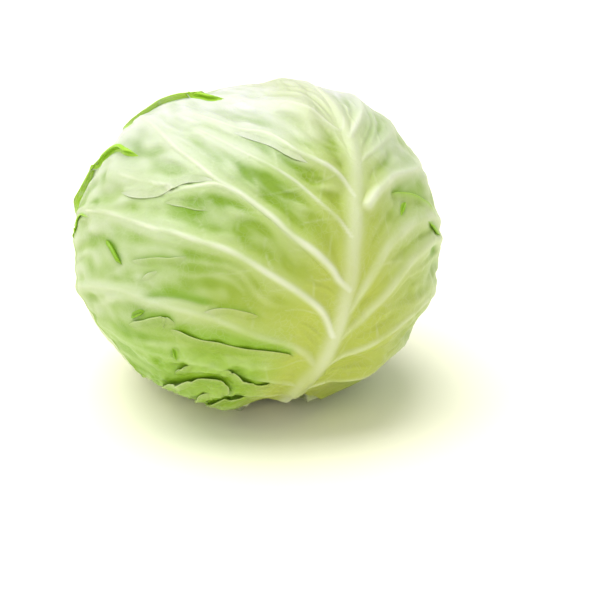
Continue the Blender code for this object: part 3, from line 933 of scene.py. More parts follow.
@dataclass
class WrapperLeaf:
    """A wrapper leaf with ribs and veins that follow its rows."""

    name: str
    node: str
    turn: float
    rows: tuple[Row, ...]
    rib_bend: float
    seed: int
    finish: LeafFinish
    head: HeadForm
    row_count: int = 193
    column_count: int = 73
    rib_half_width: tuple[float, float] = (6.8, 1.4)
    rib_height: tuple[float, float] = (2.9, 0.6)
    vein_half_width: tuple[float, float] = (1.8, 0.7)
    vein_height: tuple[float, float] = (1.4, 0.3)
    vein_reach: float = 26.0
    branch_reach: float = 4.0
    blade_thickness: float = 0.85
    foot_thickness: float = 1.3
    foot_fade: float = 26.0
    foot: float = -112.5
    rib_top: float = 78.0
    pillow: float = 1.0
    pillow_reach: float = 7.0
    crease_reach: float = 3.2
    wall_width: float = 1.6
    # Width of the green painted shade on a crease's hidden side.
    green_width: float = 1.2
    # Width of the darker painted shade along a crease's line.
    painted_shade_width: float = 1.8
    bubble: float = 0.30
    pleat: float = 0.30
    pleat_width: float = 8.0
    pleat_stretch: float = 4.0
    net_size: float = 4.6
    edge_thinning: float = 0.65
    hidden_inside: bool = True
    lip_width: float = 8.0
    lip_thickness: float = 0.45
    lip_pace: float = 0.7
    lip_root: float = 2.2
    least_radius: float = 60.0
    sheet_step: float = 0.37
    edge_reach: float = 8.0
    seat_gap: float = 0.40
    raise_all: float = 0.30
    margin_wander: float = 1.1
    curl_steps: int = 8
    branch_spacing: float = 10.0
    branch_length: tuple[float, float] = (9.0, 26.0)
    coarse_step: int = 4
    inner_step: int = 3
    curls: tuple[Curl, ...] = (Curl(0.0, 15.0, 1.2, 0.1), Curl(2.0, 50.0, 1.8, 0.3),
                               Curl(4.0, 20.0, 1.3, 0.2), Curl(6.0, 90.0, 2.4, 0.5),
                               Curl(8.0, 25.0, 1.4, 0.2), Curl(9.0, 10.0, 1.2, 0.1))

    def side_table(self, side: Side) -> np.ndarray:
        """The rows of one side as numbers: start, bend and end.

        Args:
            side: which side.

        Returns:
            One line of numbers to a row.
        """
        if side is Side.LEFT:
            return np.array([(row.start, *row.left_bend, *row.left_end) for row in self.rows])
        return np.array([(row.start, *row.right_bend, *row.right_end) for row in self.rows])

    def blended(self, table: np.ndarray, rows: np.ndarray) -> np.ndarray:
        """Values at fractional rows, on a smooth curve through the table's.

        Args:
            table: one line of values to a row.
            rows: fractional row numbers.

        Returns:
            One line of values to each number.
        """
        last = len(table) - 1
        low = np.clip(rows.astype(int), 0, last - 1)
        share = (rows - low)[:, None]
        a, b = table[np.maximum(low - 1, 0)], table[low]
        c, d = table[low + 1], table[np.minimum(low + 2, last)]
        leave, arrive = 0.36 * (c - a), 0.36 * (d - b)
        square, cube = share * share, share * share * share
        return ((2 * cube - 3 * square + 1) * b + (cube - 2 * square + share) * leave
                + (3 * square - 2 * cube) * c + (cube - square) * arrive)

    def rib_offset(self, along: np.ndarray) -> np.ndarray:
        """Sideways bend of the midrib at places along it."""
        rise = np.maximum(along + 40.0, 0.0) / 120.0
        return self.rib_bend * rise * rise

    def row_points(self, side: Side, rows: np.ndarray, shares: np.ndarray) -> np.ndarray:
        """Places on one side of the sheet.

        Args:
            side: which side.
            rows: fractional row numbers.
            shares: shares of the way from the midrib to the margin.

        Returns:
            Rows by shares of places.
        """
        values = self.blended(self.side_table(side), rows)
        start = np.stack((side.value * self.rib_offset(values[:, 0]), values[:, 0]), axis=1)
        bend, end = values[:, 1:3], values[:, 3:5]
        top = len(self.rows) - 1
        fade = step_between(top - rows, 0.0, 0.8) * step_between(rows, 0.0, 0.4)
        run = np.cumsum(np.concatenate(((0.0,), lengths(np.diff(end, axis=0)))))
        jag = ripple(np.stack((run, np.zeros(len(run)) + side.value * 40.0), axis=1), 21.0, self.seed + 5)
        jag += 0.5 * ripple(np.stack((run, np.zeros(len(run)) - side.value * 40.0), axis=1), 8.0,
                            self.seed + 6)
        end = end + unit(end - bend) * (self.margin_jag(side, rows) * fade * jag)[:, None]
        q = shares[None, :, None]
        found = ((1 - q) ** 2 * start[:, None] + 2 * q * (1 - q) * bend[:, None] + q * q * end[:, None])
        found[..., 0] *= side.value
        return found

    def margin_jag(self, side: Side, rows: np.ndarray) -> np.ndarray:
        """How far the margin wanders at each row."""
        return np.full(len(rows), self.margin_wander)

    def spaced_rows(self) -> np.ndarray:
        """Fractional row numbers that lie evenly far apart on the sheet."""
        rows = np.linspace(0.0, len(self.rows) - 1.0, 40 * len(self.rows))
        spacing = np.full(len(rows) - 1, 0.02)
        for side in Side:
            for share, weight in ((0.35, 0.4), (1.0, 0.6)):
                line = self.row_points(side, rows, np.array((share,)))[:, 0]
                spacing += weight * lengths(np.diff(line, axis=0))
        run = np.concatenate(((0.0,), np.cumsum(spacing)))
        return np.interp(np.linspace(0.0, run[-1], self.row_count), run, rows)

    def sheet_places(self, rows: np.ndarray) -> np.ndarray:
        """The whole sheet's places, from the left margin to the right.

        Args:
            rows: fractional row numbers.

        Returns:
            Rows by columns of places.
        """
        shares = np.arange(self.column_count) / (self.column_count - 1)
        left = self.row_points(Side.LEFT, rows, shares)[:, ::-1]
        right = self.row_points(Side.RIGHT, rows, shares)[:, 1:]
        return np.concatenate((left, right), axis=1)

    def midrib(self) -> Vein:
        """The midrib's path and size."""
        along = np.linspace(self.foot - 2.0, self.rib_top, 12)
        path = tuple(zip(self.rib_offset(along), along))
        return Vein(path, self.rib_half_width, self.rib_height)

    def side_veins(self) -> list[Vein]:
        """Side veins, which leave the midrib along the rows that are marked for them."""
        found = []
        shares = np.linspace(0.0, 0.93, 9)
        for number, row in enumerate(self.rows):
            if not row.vein:
                continue
            for side in Side:
                path = self.row_points(side, np.array((float(number),)), shares)[0]
                path = path + 1.5 * np.stack((ripple(path, 30.0, self.seed + number),
                                              ripple(path, 30.0, self.seed + number + 50)), axis=-1)
                found.append(Vein(tuple(map(tuple, path)), self.vein_half_width, self.vein_height))
        return found

    def branches(self, parents: list[Vein], seed: int) -> list[Vein]:
        """Thinner veins that leave the side veins on alternate sides.

        Args:
            parents: the veins that they leave.
            seed: fixes the draws.

        Returns:
            The new veins.
        """
        draws = np.random.default_rng(seed)
        found = []
        for parent in parents:
            line = Line(parent.path)
            side = 1.0
            place = draws.uniform(8.0, 14.0)
            while place < line.length - 4.0:
                share = place / line.length
                start, heading = line.at(share)
                normal = np.array((-heading[1], heading[0])) * side
                reach = draws.uniform(*self.branch_length) * (1.0 - 0.45 * share)
                lean = math.radians(draws.uniform(38.0, 62.0))
                way = heading * math.cos(lean) + normal * math.sin(lean)
                bow = np.array((-way[1], way[0])) * draws.uniform(-0.16, 0.16) * reach
                path = (tuple(start), tuple(start + way * reach * 0.35 + bow * 0.8),
                        tuple(start + way * reach * 0.7 + bow), tuple(start + way * reach))
                size = 1.0 - 0.4 * share
                found.append(Vein(path, (0.75 * size, 0.30), (0.36 * size, 0.03), 0.28 * size))
                side = -side
                place += self.branch_spacing * draws.uniform(0.7, 1.35)
        return found

    def creases(self) -> list[Crease]:
        """Folds and pockets of this leaf."""
        return []

    def near_veins(self, places: np.ndarray, veins: list[Vein], reach: float) -> tuple[np.ndarray, ...]:
        """What veins add to the blade.

        Args:
            places: points on the sheet, one to a row.
            veins: the veins.
            reach: distance past which a vein isn't felt.

        Returns:
            Ridge height, how pale the veins make each place, and distance to the nearest vein.
        """
        ridge = np.zeros(len(places))
        pale = np.zeros(len(places))
        distance = np.full(len(places), reach)
        for vein in veins:
            near, away, share, _ = Line(vein.path).measure(places, reach)
            width = vein.half_width[0] + (vein.half_width[1] - vein.half_width[0]) * share ** 0.8
            height = vein.height[0] + (vein.height[1] - vein.height[0]) * share ** 0.8
            bell = np.exp(-(away / width) ** 2)
            ridge[near] = np.maximum(ridge[near], height * bell)
            tone = vein.pale * (0.85 - 0.35 * share) * np.exp(-(away / (0.95 * width)) ** 2.5)
            tone = tone * np.clip(0.88 + 0.24 * ripple(places[near], 17.0, self.seed + 81), 0.35, 1.0)
            pale[near] = np.maximum(pale[near], tone)
            distance[near] = np.minimum(distance[near], np.maximum(away - width, 0.0))
        return ridge, pale, distance

    def creased(self, places: np.ndarray) -> tuple[np.ndarray, np.ndarray, np.ndarray]:
        """What creases do to the blade: height, the green painted shade of their hollows, and the darker
        painted shade along their lines.

        Args:
            places: points on the sheet, one to a row.

        Returns:
            The three values for each place.
        """
        form = np.zeros(len(places))
        green = np.zeros(len(places))
        painted_shade = np.zeros(len(places))
        for crease in self.creases():
            line = Line(crease.path)
            near, away, share, side = line.measure(places, self.crease_reach * crease.run)
            along = crease.raised(share, line.length)
            run = crease.run * (0.5 + 0.5 * np.sin(math.pi * share))
            hidden = side > 0.0
            pocket = np.where(hidden, np.exp(-(away / self.wall_width) ** 2), np.exp(-(away / run) ** 1.5))
            form[near] -= along * crease.depth * pocket
            # The hollow is painted green as painted shade: narrowly on the hidden side, broadly over the
            # sink.
            tint = np.where(hidden, np.exp(-(away / self.green_width) ** 2), np.exp(-(away / run) ** 1.8))
            green[near] = np.maximum(green[near], crease.green * along * tint)
            # The line is painted darker: painted shade under the lip.
            shade = np.exp(-(away / self.painted_shade_width) ** 2)
            painted_shade[near] = np.maximum(painted_shade[near], crease.painted_shade * along * shade)
        return form, green, painted_shade

    def veined(self, flat: np.ndarray) -> tuple[np.ndarray, np.ndarray, np.ndarray]:
        """Every vein's share in the blade.

        Args:
            flat: points on the sheet, one to a row.

        Returns:
            Ridge height, how pale the veins make each place, and distance to the nearest large vein.
        """
        main = [self.midrib()] + self.side_veins()
        ridge, vein, distance = self.near_veins(flat, main, self.vein_reach)
        thin = self.branches(main[1:], self.seed + 7)
        thin_ridge, thin_tone, _ = self.near_veins(flat, thin, self.branch_reach)
        wall = cell_lines(flat, self.net_size, self.seed + 9)
        net = np.exp(-(wall / 0.5) ** 2) * (0.5 + 0.5 * ripple(flat, 25.0, self.seed + 10))
        clear = 1.0 - vein
        ridge = ridge + clear * np.maximum(thin_ridge, 0.05 * net)
        return ridge, np.maximum(vein, clear * np.maximum(thin_tone, 0.03 * net)), distance

    def near_margin(self, places: np.ndarray) -> np.ndarray:
        """How near each place is to either margin: 1 on it, and 0 a few millimetres in.

        Args:
            places: rows by columns of points on the sheet.

        Returns:
            One value to each place.
        """
        runs = lengths(np.diff(places, axis=1))
        from_left = np.zeros(places.shape[:2])
        from_left[:, 1:] = np.cumsum(runs, axis=1)
        away = np.minimum(from_left, from_left[:, -1:] - from_left)
        return step_between(away, self.edge_reach, 0.0)

    def crumple(self, places: np.ndarray) -> np.ndarray:
        """Extra height where the leaf is crumpled."""
        return np.zeros(len(places))

    def pleats(self, places: np.ndarray) -> np.ndarray:
        """Long shallow folds that run with the rows, from the midrib toward the margin.

        Args:
            places: rows by columns of points on the sheet.

        Returns:
            A value between about -1 and 1 for each place.
        """
        middle = places.shape[1] // 2
        across = np.zeros(places.shape[:2])
        across[:, 1:] = np.cumsum(lengths(np.diff(places, axis=1)), axis=1)
        across = across - across[:, middle:middle + 1]
        third = places[:, middle // 2:-(middle // 2):middle // 2]
        pace = np.mean(lengths(np.diff(third, axis=0)), axis=1)
        along = np.concatenate(((0.0,), np.cumsum(pace)))[:, None] + np.zeros(places.shape[:2])
        bent = along + 3.0 * ripple(places, 40.0, self.seed + 51)
        stretched_places = np.stack((across / self.pleat_stretch, bent), axis=-1)
        soft = ripple(stretched_places, self.pleat_width, self.seed + 52, 9)
        sharp = ripple(stretched_places, 1.3 * self.pleat_width, self.seed + 53, 9)
        return 0.6 * soft + 0.9 * (0.55 - np.sqrt(sharp * sharp + 0.01))

    def tints(self, places: np.ndarray, distance: np.ndarray) -> dict[str, np.ndarray]:
        """How colour is spread over the blade: hollow is green, pale is cream, core is yellow.

        Args:
            places: points on the sheet, one to a row.
            distance: distance to the nearest large vein.

        Returns:
            Marks for the material.
        """
        patch = 0.5 + 0.5 * ripple(places, 38.0, self.seed + 31)
        from_foot = lengths(places - np.array((0.0, self.foot)))
        hollow = step_between(distance, 0.5, 9.0) * (0.25 + 0.35 * patch)
        pale = 0.25 + 0.3 * step_between(lengths(places), 60.0, 130.0)
        core = 0.7 * step_between(from_foot, 70.0, 8.0)
        return {"hollow": hollow, "pale": pale, "core": core, "rim": np.zeros(len(places))}

    def seat(self, node: Skin, below: list[Skin], directions: np.ndarray) -> tuple[np.ndarray, np.ndarray]:
        """Where the leaf's inner face lies.

        Args:
            node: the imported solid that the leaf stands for.
            below: finished pieces under it.
            directions: rows by columns of directions.

        Returns:
            Distance from the middle of the head, and the height of what is below, for each place.
        """
        half = self.coarse_step // 2
        coarse = directions[::self.coarse_step, ::self.coarse_step]
        wide = blurred(node.innermost(coarse), 2)
        if self.hidden_inside:
            wide = wide - self.head.kept_under(coarse)
        under = np.zeros(directions[::half, ::half].shape[:-1])
        for skin in below:
            under = np.maximum(under, skin.outermost(directions[::half, ::half]))
        held = blurred(spread_maximum(spread_maximum(under))[::2, ::2], 1)
        base = soft_max(wide, held + self.seat_gap, 0.5)
        return (blurred(stretched(base, self.coarse_step), 4),
                blurred(stretched(held, self.coarse_step), 4))

    def shaped(self, node: Skin, below: list[Skin], rows: np.ndarray) -> Blade:
        """The whole blade with its ribs, veins, pillows and creases.

        Args:
            node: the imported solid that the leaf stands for.
            below: finished pieces under it.
            rows: fractional row numbers of the grid.

        Returns:
            The blade.
        """
        places = self.sheet_places(rows)
        directions = self.head.wrapped(self.turn, places)
        base, held = self.seat(node, below, directions)
        flat = places.reshape(-1, 2)
        ridge, tone, distance = self.veined(flat)
        creases, green, painted_shade = self.creased(flat)
        puff = 0.5 * ripple(flat, 17.0, self.seed + 21) + 0.5 * ripple(flat, 9.0, self.seed + 22)
        pleat = self.pleats(places).reshape(-1)
        puff = (self.bubble * puff + self.pleat * pleat) * step_between(distance, 0.0, 5.0)
        form = self.raise_all - self.pillow * (1.0 - np.exp(-(distance / self.pillow_reach) ** 2))
        form = form + puff + creases + self.crumple(flat)
        marks = self.tints(flat, distance)
        # Greener where the fine relief dips and paler where it bulges: painted shade and painted sheen over
        # the relief, the paleness partly also the leaf's wax bloom.
        marks["hollow"] = np.clip(np.maximum(marks["hollow"], 0.0) * (1.0 - 0.9 * puff) + green, 0.0, 1.0)
        marks["pale"] = np.clip(marks["pale"] + 0.25 * puff, 0.0, 1.0)
        # The green of crease hollows is painted shade: it is added to the hollow mark above, and here it
        # clears the vein, pale and core marks and lends the rim colour.
        marks["vein"] = tone * (1.0 - 0.8 * green)
        marks["pale"] = marks["pale"] * (1.0 - green)
        marks["core"] = marks["core"] * (1.0 - 0.85 * green)
        marks["rim"] = np.maximum(marks["rim"], 0.45 * green ** 1.5)
        # The darker painted shade of crease lines.
        marks["painted_shade"] = painted_shade
        from_foot = lengths(flat - np.array((0.0, self.foot)))
        thickness = self.blade_thickness + self.foot_thickness * np.exp(-from_foot / self.foot_fade)
        shape = places.shape[:2]
        thickness = thickness.reshape(shape) * (1.0 - self.edge_thinning * self.near_margin(places))
        form = soft_max(form.reshape(shape), held + 0.15 - base, 0.3)
        return Blade(places, directions, base, form, ridge.reshape(shape), thickness,
                     {name: values.reshape(shape) for name, values in marks.items()})

    def rolled_edge(self, side: Side, rows: np.ndarray, edge: np.ndarray, within: np.ndarray,
                    outward: np.ndarray, depth: np.ndarray) -> np.ndarray:
        """Points of the rolled margin past the last column of the blade.

        Args:
            side: which margin.
            rows: fractional row numbers.
            edge: margin points.
            within: points a little way in from them.
            outward: unit directions away from the middle of the head.
            depth: how far below the outer face these points lie.

        Returns:
            Rows by roll steps of points.
        """
        curls = sorted(self.side_curls(side), key=lambda curl: curl.row)
        at = [curl.row for curl in curls]
        angle = np.radians(np.interp(rows, at, [curl.degrees for curl in curls]))
        length = np.interp(rows, at, [curl.length for curl in curls])
        wander = np.stack((rows * 30.0, np.full(len(rows), side.value * 90.0)), axis=1)
        angle = angle * (1.0 + 0.10 * ripple(wander, 40.0, self.seed + 41))
        heading = edge - within
        heading = blurred((heading / np.maximum(lengths(heading), 1e-6)[:, None])[:, None], 2)[:, 0]
        heading = unit(heading - np.sum(heading * outward, axis=1)[:, None] * outward)
        steps = np.arange(1, self.curl_steps + 1) / self.curl_steps
        angle = np.where(np.abs(angle) < 1e-3, 1e-3, angle)
        phi = angle[:, None] * steps
        bend = (angle / length)[:, None]
        forth = np.sin(phi) / bend
        rise = (1.0 - np.cos(phi)) / bend
        taper = 1.0 - 0.35 * steps
        drop = depth[:, None] * taper
        forth = forth + drop * np.sin(phi)
        rise = rise + depth[:, None] - drop * np.cos(phi)
        return (edge[:, None] + forth[..., None] * heading[:, None] + rise[..., None] * outward[:, None])

    def side_curls(self, side: Side) -> tuple[Curl, ...]:
        """How the margin rolls on one side."""
        return self.curls

    def rim_marks(self, rows: np.ndarray, side: Side) -> np.ndarray:
        """How green the rolled margin is at each row and roll step.

        Args:
            rows: fractional row numbers.
            side: which margin.

        Returns:
            Rows by roll steps of values.
        """
        curls = sorted(self.side_curls(side), key=lambda curl: curl.row)
        green = np.interp(rows, [curl.row for curl in curls], [curl.green for curl in curls])
        steps = np.arange(1, self.curl_steps + 1) / self.curl_steps
        return green[:, None] * step_between(steps, -0.15, 0.15)[None, :]

    def on_sheet(self, places: np.ndarray) -> np.ndarray:
        """Places on the sheet as the material reads them, apart from those of other leaves."""
        height = np.full(places.shape[:-1] + (1,), self.seed * self.sheet_step)
        return np.concatenate((places * MM, height), axis=-1)

    def with_rolls(self, blade: Blade, rows: np.ndarray, outer: np.ndarray, depth: np.ndarray) -> np.ndarray:
        """One face of the blade with its rolled margins.

        Args:
            blade: the blade.
            rows: fractional row numbers of the grid.
            outer: points of the outer face.
            depth: how far below the outer face this one lies.

        Returns:
            Rows by columns of points.
        """
        radius = blade.base + blade.form
        grid = outer if not depth.any() else blade.directions * radius[..., None]
        parts = []
        for side, edge, within in ((Side.LEFT, 0, 3), (Side.RIGHT, -1, -4)):
            beside = outer[:, within] + (grid[:, edge] - outer[:, edge])
            parts.append(self.rolled_edge(side, rows, grid[:, edge], beside, blade.directions[:, edge],
                                          depth[:, edge]))
        return np.concatenate((parts[0][:, ::-1], grid, parts[1]), axis=1)

    def rolled_marks(self, blade: Blade, rows: np.ndarray) -> dict[str, np.ndarray]:
        """The blade's marks, carried on over its rolled margins.

        Args:
            blade: the blade.
            rows: fractional row numbers.

        Returns:
            Marks, rows by columns.
        """
        marks = {}
        for name, values in {**blade.marks, "sheet": self.on_sheet(blade.places)}.items():
            left, right = (np.repeat(edge, self.curl_steps, axis=1)
                           for edge in (values[:, :1], values[:, -1:]))
            if name == "rim":
                left, right = self.rim_marks(rows, Side.LEFT)[:, ::-1], self.rim_marks(rows, Side.RIGHT)
            elif name in ("vein", "painted_shade"):
                left, right = left * 0.0, right * 0.0
            marks[name] = np.concatenate((left, values, right), axis=1)
        return marks

    def faces(self, count_rows: int) -> tuple:
        """Corner numbers and triangles of both faces and the rim between them.

        Args:
            count_rows: rows in the grid.

        Returns:
            Rows and columns that the inner face keeps of the grid, and the triangles.
        """
        edge = self.curl_steps + 2 * self.column_count - 1
        count_columns = edge + self.curl_steps
        row_stops = list(range(0, count_rows, self.inner_step))
        column_stops = [*range(0, self.curl_steps, 2), *range(self.curl_steps, edge, self.inner_step),
                        *range(edge + 1, count_columns, 2)]
        outer = np.arange(count_rows * count_columns).reshape(count_rows, count_columns)
        small = outer.size + np.arange(len(row_stops) * len(column_stops)).reshape(len(row_stops), -1)
        for grid in (outer, small):
            middle = grid.shape[1] // 2
            grid[-1, middle + 1:] = grid[-1, :middle][::-1]
        triangles = [triangles_between(outer[row], outer[row + 1]) for row in range(count_rows - 1)]
        triangles += [triangles_between(small[row], small[row + 1])[:, ::-1]
                      for row in range(len(small) - 1)]
        triangles.append(np.array(sewn(list(outer[:, 0]), list(small[:, 0]), row_stops)))
        triangles.append(np.array(sewn(list(outer[:, -1]), list(small[:, -1]), row_stops))[:, ::-1])
        triangles.append(np.array(sewn(list(outer[0]), list(small[0]), column_stops))[:, ::-1])
        return np.ix_(row_stops, column_stops), np.concatenate(triangles)

    def make(self, nodes: dict[str, bpy.types.Object], below: list[Skin], groups: EffectGroups) -> Skin:
        """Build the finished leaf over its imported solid.

        Args:
            nodes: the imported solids.
            below: finished pieces under it.
            groups: the shared shader effects.

        Returns:
            The leaf's skin.
        """
        rows = self.spaced_rows()
        blade = self.shaped(Skin.of_node(nodes[self.node], self.head), below, rows)
        radius = blade.base + blade.form + blade.thickness + blade.ridge
        outer = blade.directions * radius[..., None]
        upper, lower = (self.with_rolls(blade, rows, outer, depth)
                        for depth in (0.0 * blade.thickness, blade.thickness))
        keep, triangles = self.faces(len(upper))
        used = np.unique(triangles)
        number = np.full(triangles.max() + 1, -1)
        number[used] = np.arange(len(used))
        triangles = number[triangles]

        def both(top: np.ndarray, bottom: np.ndarray) -> np.ndarray:
            """The used values of the outer face's grid, then of the inner face's."""
            tail = top.shape[2:]
            return np.concatenate((top.reshape((-1,) + tail), bottom[keep].reshape((-1,) + tail)))[used]

        values = {name: both(grid, grid) for name, grid in self.rolled_marks(blade, rows).items()}
        material = self.finish.dressed(groups)
        points = self.finished(self.name, both(upper, lower), triangles, values, material)
        skin = Skin(points, triangles.tolist())
        self.raise_lips(skin, blade, material)
        return skin

    def finished(self, name: str, points: np.ndarray, triangles: np.ndarray,
                 values: dict[str, np.ndarray], material: bpy.types.Material) -> np.ndarray:
        """Make one piece of the leaf's meshes and hand it to the frame.

        Args:
            name: the piece's name.
            points: millimetres from the middle of the head.
            triangles: corner numbers.
            values: marks for the material.
            material: what it is made of.

        Returns:
            The points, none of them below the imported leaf.
        """
        points[:, 2] = np.maximum(points[:, 2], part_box(self.node)[0][2] / MM - self.head.middle[2])
        handed_over(closed_mesh(name, points, triangles, self.head, values, material), self.node)
        return points

    def raise_lips(self, skin: Skin, blade: Blade, material: bpy.types.Material) -> None:
        """Add the lips of this leaf's folds as one piece, where it has any.

        Args:
            skin: the finished blade.
            blade: its grid and marks.
            material: what the leaf is made of.
        """
        raised = [crease for crease in self.creases() if crease.lip > 0.0]
        if not raised:
            return
        near = NearMarks(blade.places, blade.marks)
        lips = [lip for lip in (self.folded_lip(crease, skin, near) for crease in raised) if lip]
        starts = np.cumsum([0] + [len(points) for points, _, _ in lips[:-1]])
        self.finished(self.name + "_lips", np.concatenate([points for points, _, _ in lips]),
                      np.concatenate([faces + start for (_, faces, _), start in zip(lips, starts)]),
                      {name: np.concatenate([marks[name] for _, _, marks in lips]) for name in lips[0][2]},
                      material)

    def folded_lip(self, crease: Crease, skin: Skin, near: NearMarks) -> tuple | None:
        """Thin lip that rises out of the blade on a fold's left and hangs over its line.

        Args:
            crease: the fold.
            skin: the finished blade.
            near: the blade's marks.

        Returns:
            Points, triangles and marks, or nothing where the blade doesn't carry it.
        """
        path = smooth_line(crease.path, self.lip_pace)
        heading = unit(blurred(np.gradient(path, axis=0)[:, None], 2)[:, 0])
        toward = np.stack((heading[:, 1], -heading[:, 0]), axis=1)
        while True:
            taper = crease.raised(np.linspace(0.0, 1.0, len(path)), self.lip_pace * len(path))
            width = min(self.lip_width, 1.2 * crease.run + 1.6) * (0.25 + 0.75 * taper)
            across = width[:, None] * np.linspace(-1.0, 0.0, 9)[None, :]
            places = path[:, None] + toward[:, None] * across[..., None]
            ways = self.head.wrapped(self.turn, places)
            radius = skin.outermost(ways)
            good = np.flatnonzero(np.all(radius[:, :6] > self.least_radius, axis=1))
            if len(good) == len(path):
                break
            if len(good) < 6 or good[-1] - good[0] + 1 == len(path):
                return None
            path, toward = path[good[0]:good[-1] + 1], toward[good[0]:good[-1] + 1]
        radius = blurred(radius, 1)
        slope = np.clip((radius[:, 5] - radius[:, 3]) / (across[:, 5] - across[:, 3]), -0.08, 0.2)
        beyond = radius[:, 5:6] + slope[:, None] * (across[:, 6:] - across[:, 5:6])
        radius[:, 6:] = soft_max(beyond, radius[:, 6:] + 0.1, 0.1)
        top = self.lip_surface(crease, path, taper, ways, radius)
        normal = unit(np.cross(np.gradient(top, axis=0), np.gradient(top, axis=1)))
        normal = normal * np.sign(np.sum(normal[:, :3] * ways[:, :3], axis=(1, 2)))[:, None, None]
        bottom = top - normal * (self.lip_thickness * (0.25 + 0.75 * taper))[:, None, None]
        held = np.minimum(np.arange(top.shape[1]), across.shape[1] - 1)
        root = path[:, None] + toward[:, None] * np.minimum(across, -self.lip_root)[:, held, None]
        marks = self.lip_marks(crease, near.at(root.reshape(-1, 2)), taper)
        marks["sheet"] = self.on_sheet(places[:, held].reshape(-1, 2))
        return (np.concatenate((top.reshape(-1, 3), bottom.reshape(-1, 3))), slab(*top.shape[:2]),
                {name: np.concatenate((value, value)) for name, value in marks.items()})

    def lip_surface(self, crease: Crease, path: np.ndarray, taper: np.ndarray, ways: np.ndarray,
                    radius: np.ndarray) -> np.ndarray:
        """Outer surface of a lip, from its root in the blade to its rolled end.

        Args:
            crease: the fold.
            path: points along it.
            taper: how far the lip is raised at each.
            ways: unit directions across the lip at each.
            radius: the blade's distance from the middle of the head along them.

        Returns:
            Stations by steps across of points.
        """
        rise = step_between(np.linspace(0.0, 1.0, 9), 0.0, 1.0)
        wave = np.clip(1.0 + 0.3 * (1.0 - crease.rim) * ripple(path, 9.0, self.seed + 61), 0.6, 1.6)
        lift = -0.25 + rise[None, :] * (taper * wave)[:, None] * (crease.lip + 0.25)
        top = ways * (radius + lift)[..., None]
        forward = unit(top[:, -1] - top[:, -2])[:, None]
        size = (crease.roll_radius * (0.15 + 0.85 * taper))[:, None]
        turn = (np.radians(crease.roll) * (0.3 + 0.7 * taper))[:, None] * (np.arange(1, 7) / 6)
        hang = crease.overhang * (0.05 + 0.95 * taper) * wave
        start = top[:, -1:] + forward * hang[:, None, None]
        bent = (np.sin(turn) * size)[..., None] * forward
        bent = bent + ((1.0 - np.cos(turn)) * size)[..., None] * ways[:, -1:]
        return np.concatenate((top, start, start + bent), axis=1)

    def lip_marks(self, crease: Crease, marks: dict[str, np.ndarray], taper: np.ndarray) -> dict:
        """Marks of a fold's lip: the blade's own at its root, and a paler or greener edge, painted darker
        where it rolls as painted shade.

        Args:
            crease: the fold.
            marks: the blade's marks beside the fold, stations by steps across.
            taper: how far the lip is raised at each station.

        Returns:
            Marks, one value to each point.
        """
        count = len(marks["painted_shade"]) // len(taper)
        rolled = crease.rim ** 4
        strong = taper + (1.0 - taper) * rolled
        steps = step_between(np.arange(count), 5.0 - 4.5 * rolled, 12.0 - 6.0 * rolled)
        edge = (steps[None, :] * strong[:, None]).reshape(-1)
        return {"hollow": marks["hollow"] * (1.0 - 0.8 * edge),
                "pale": np.clip(marks["pale"] + 0.12 * edge * (1.0 - crease.rim), 0.0, 1.0),
                "core": marks["core"], "vein": marks["vein"],
                # A rolled lip's edge is painted darker: painted shade.
                "painted_shade": marks["painted_shade"] * (1.0 - edge) + 1.3 * crease.rim * crease.painted_shade * edge,
                "rim": np.clip(marks["rim"] * (1.0 - edge) + crease.rim * 1.6 * edge, 0.0, 1.0)}


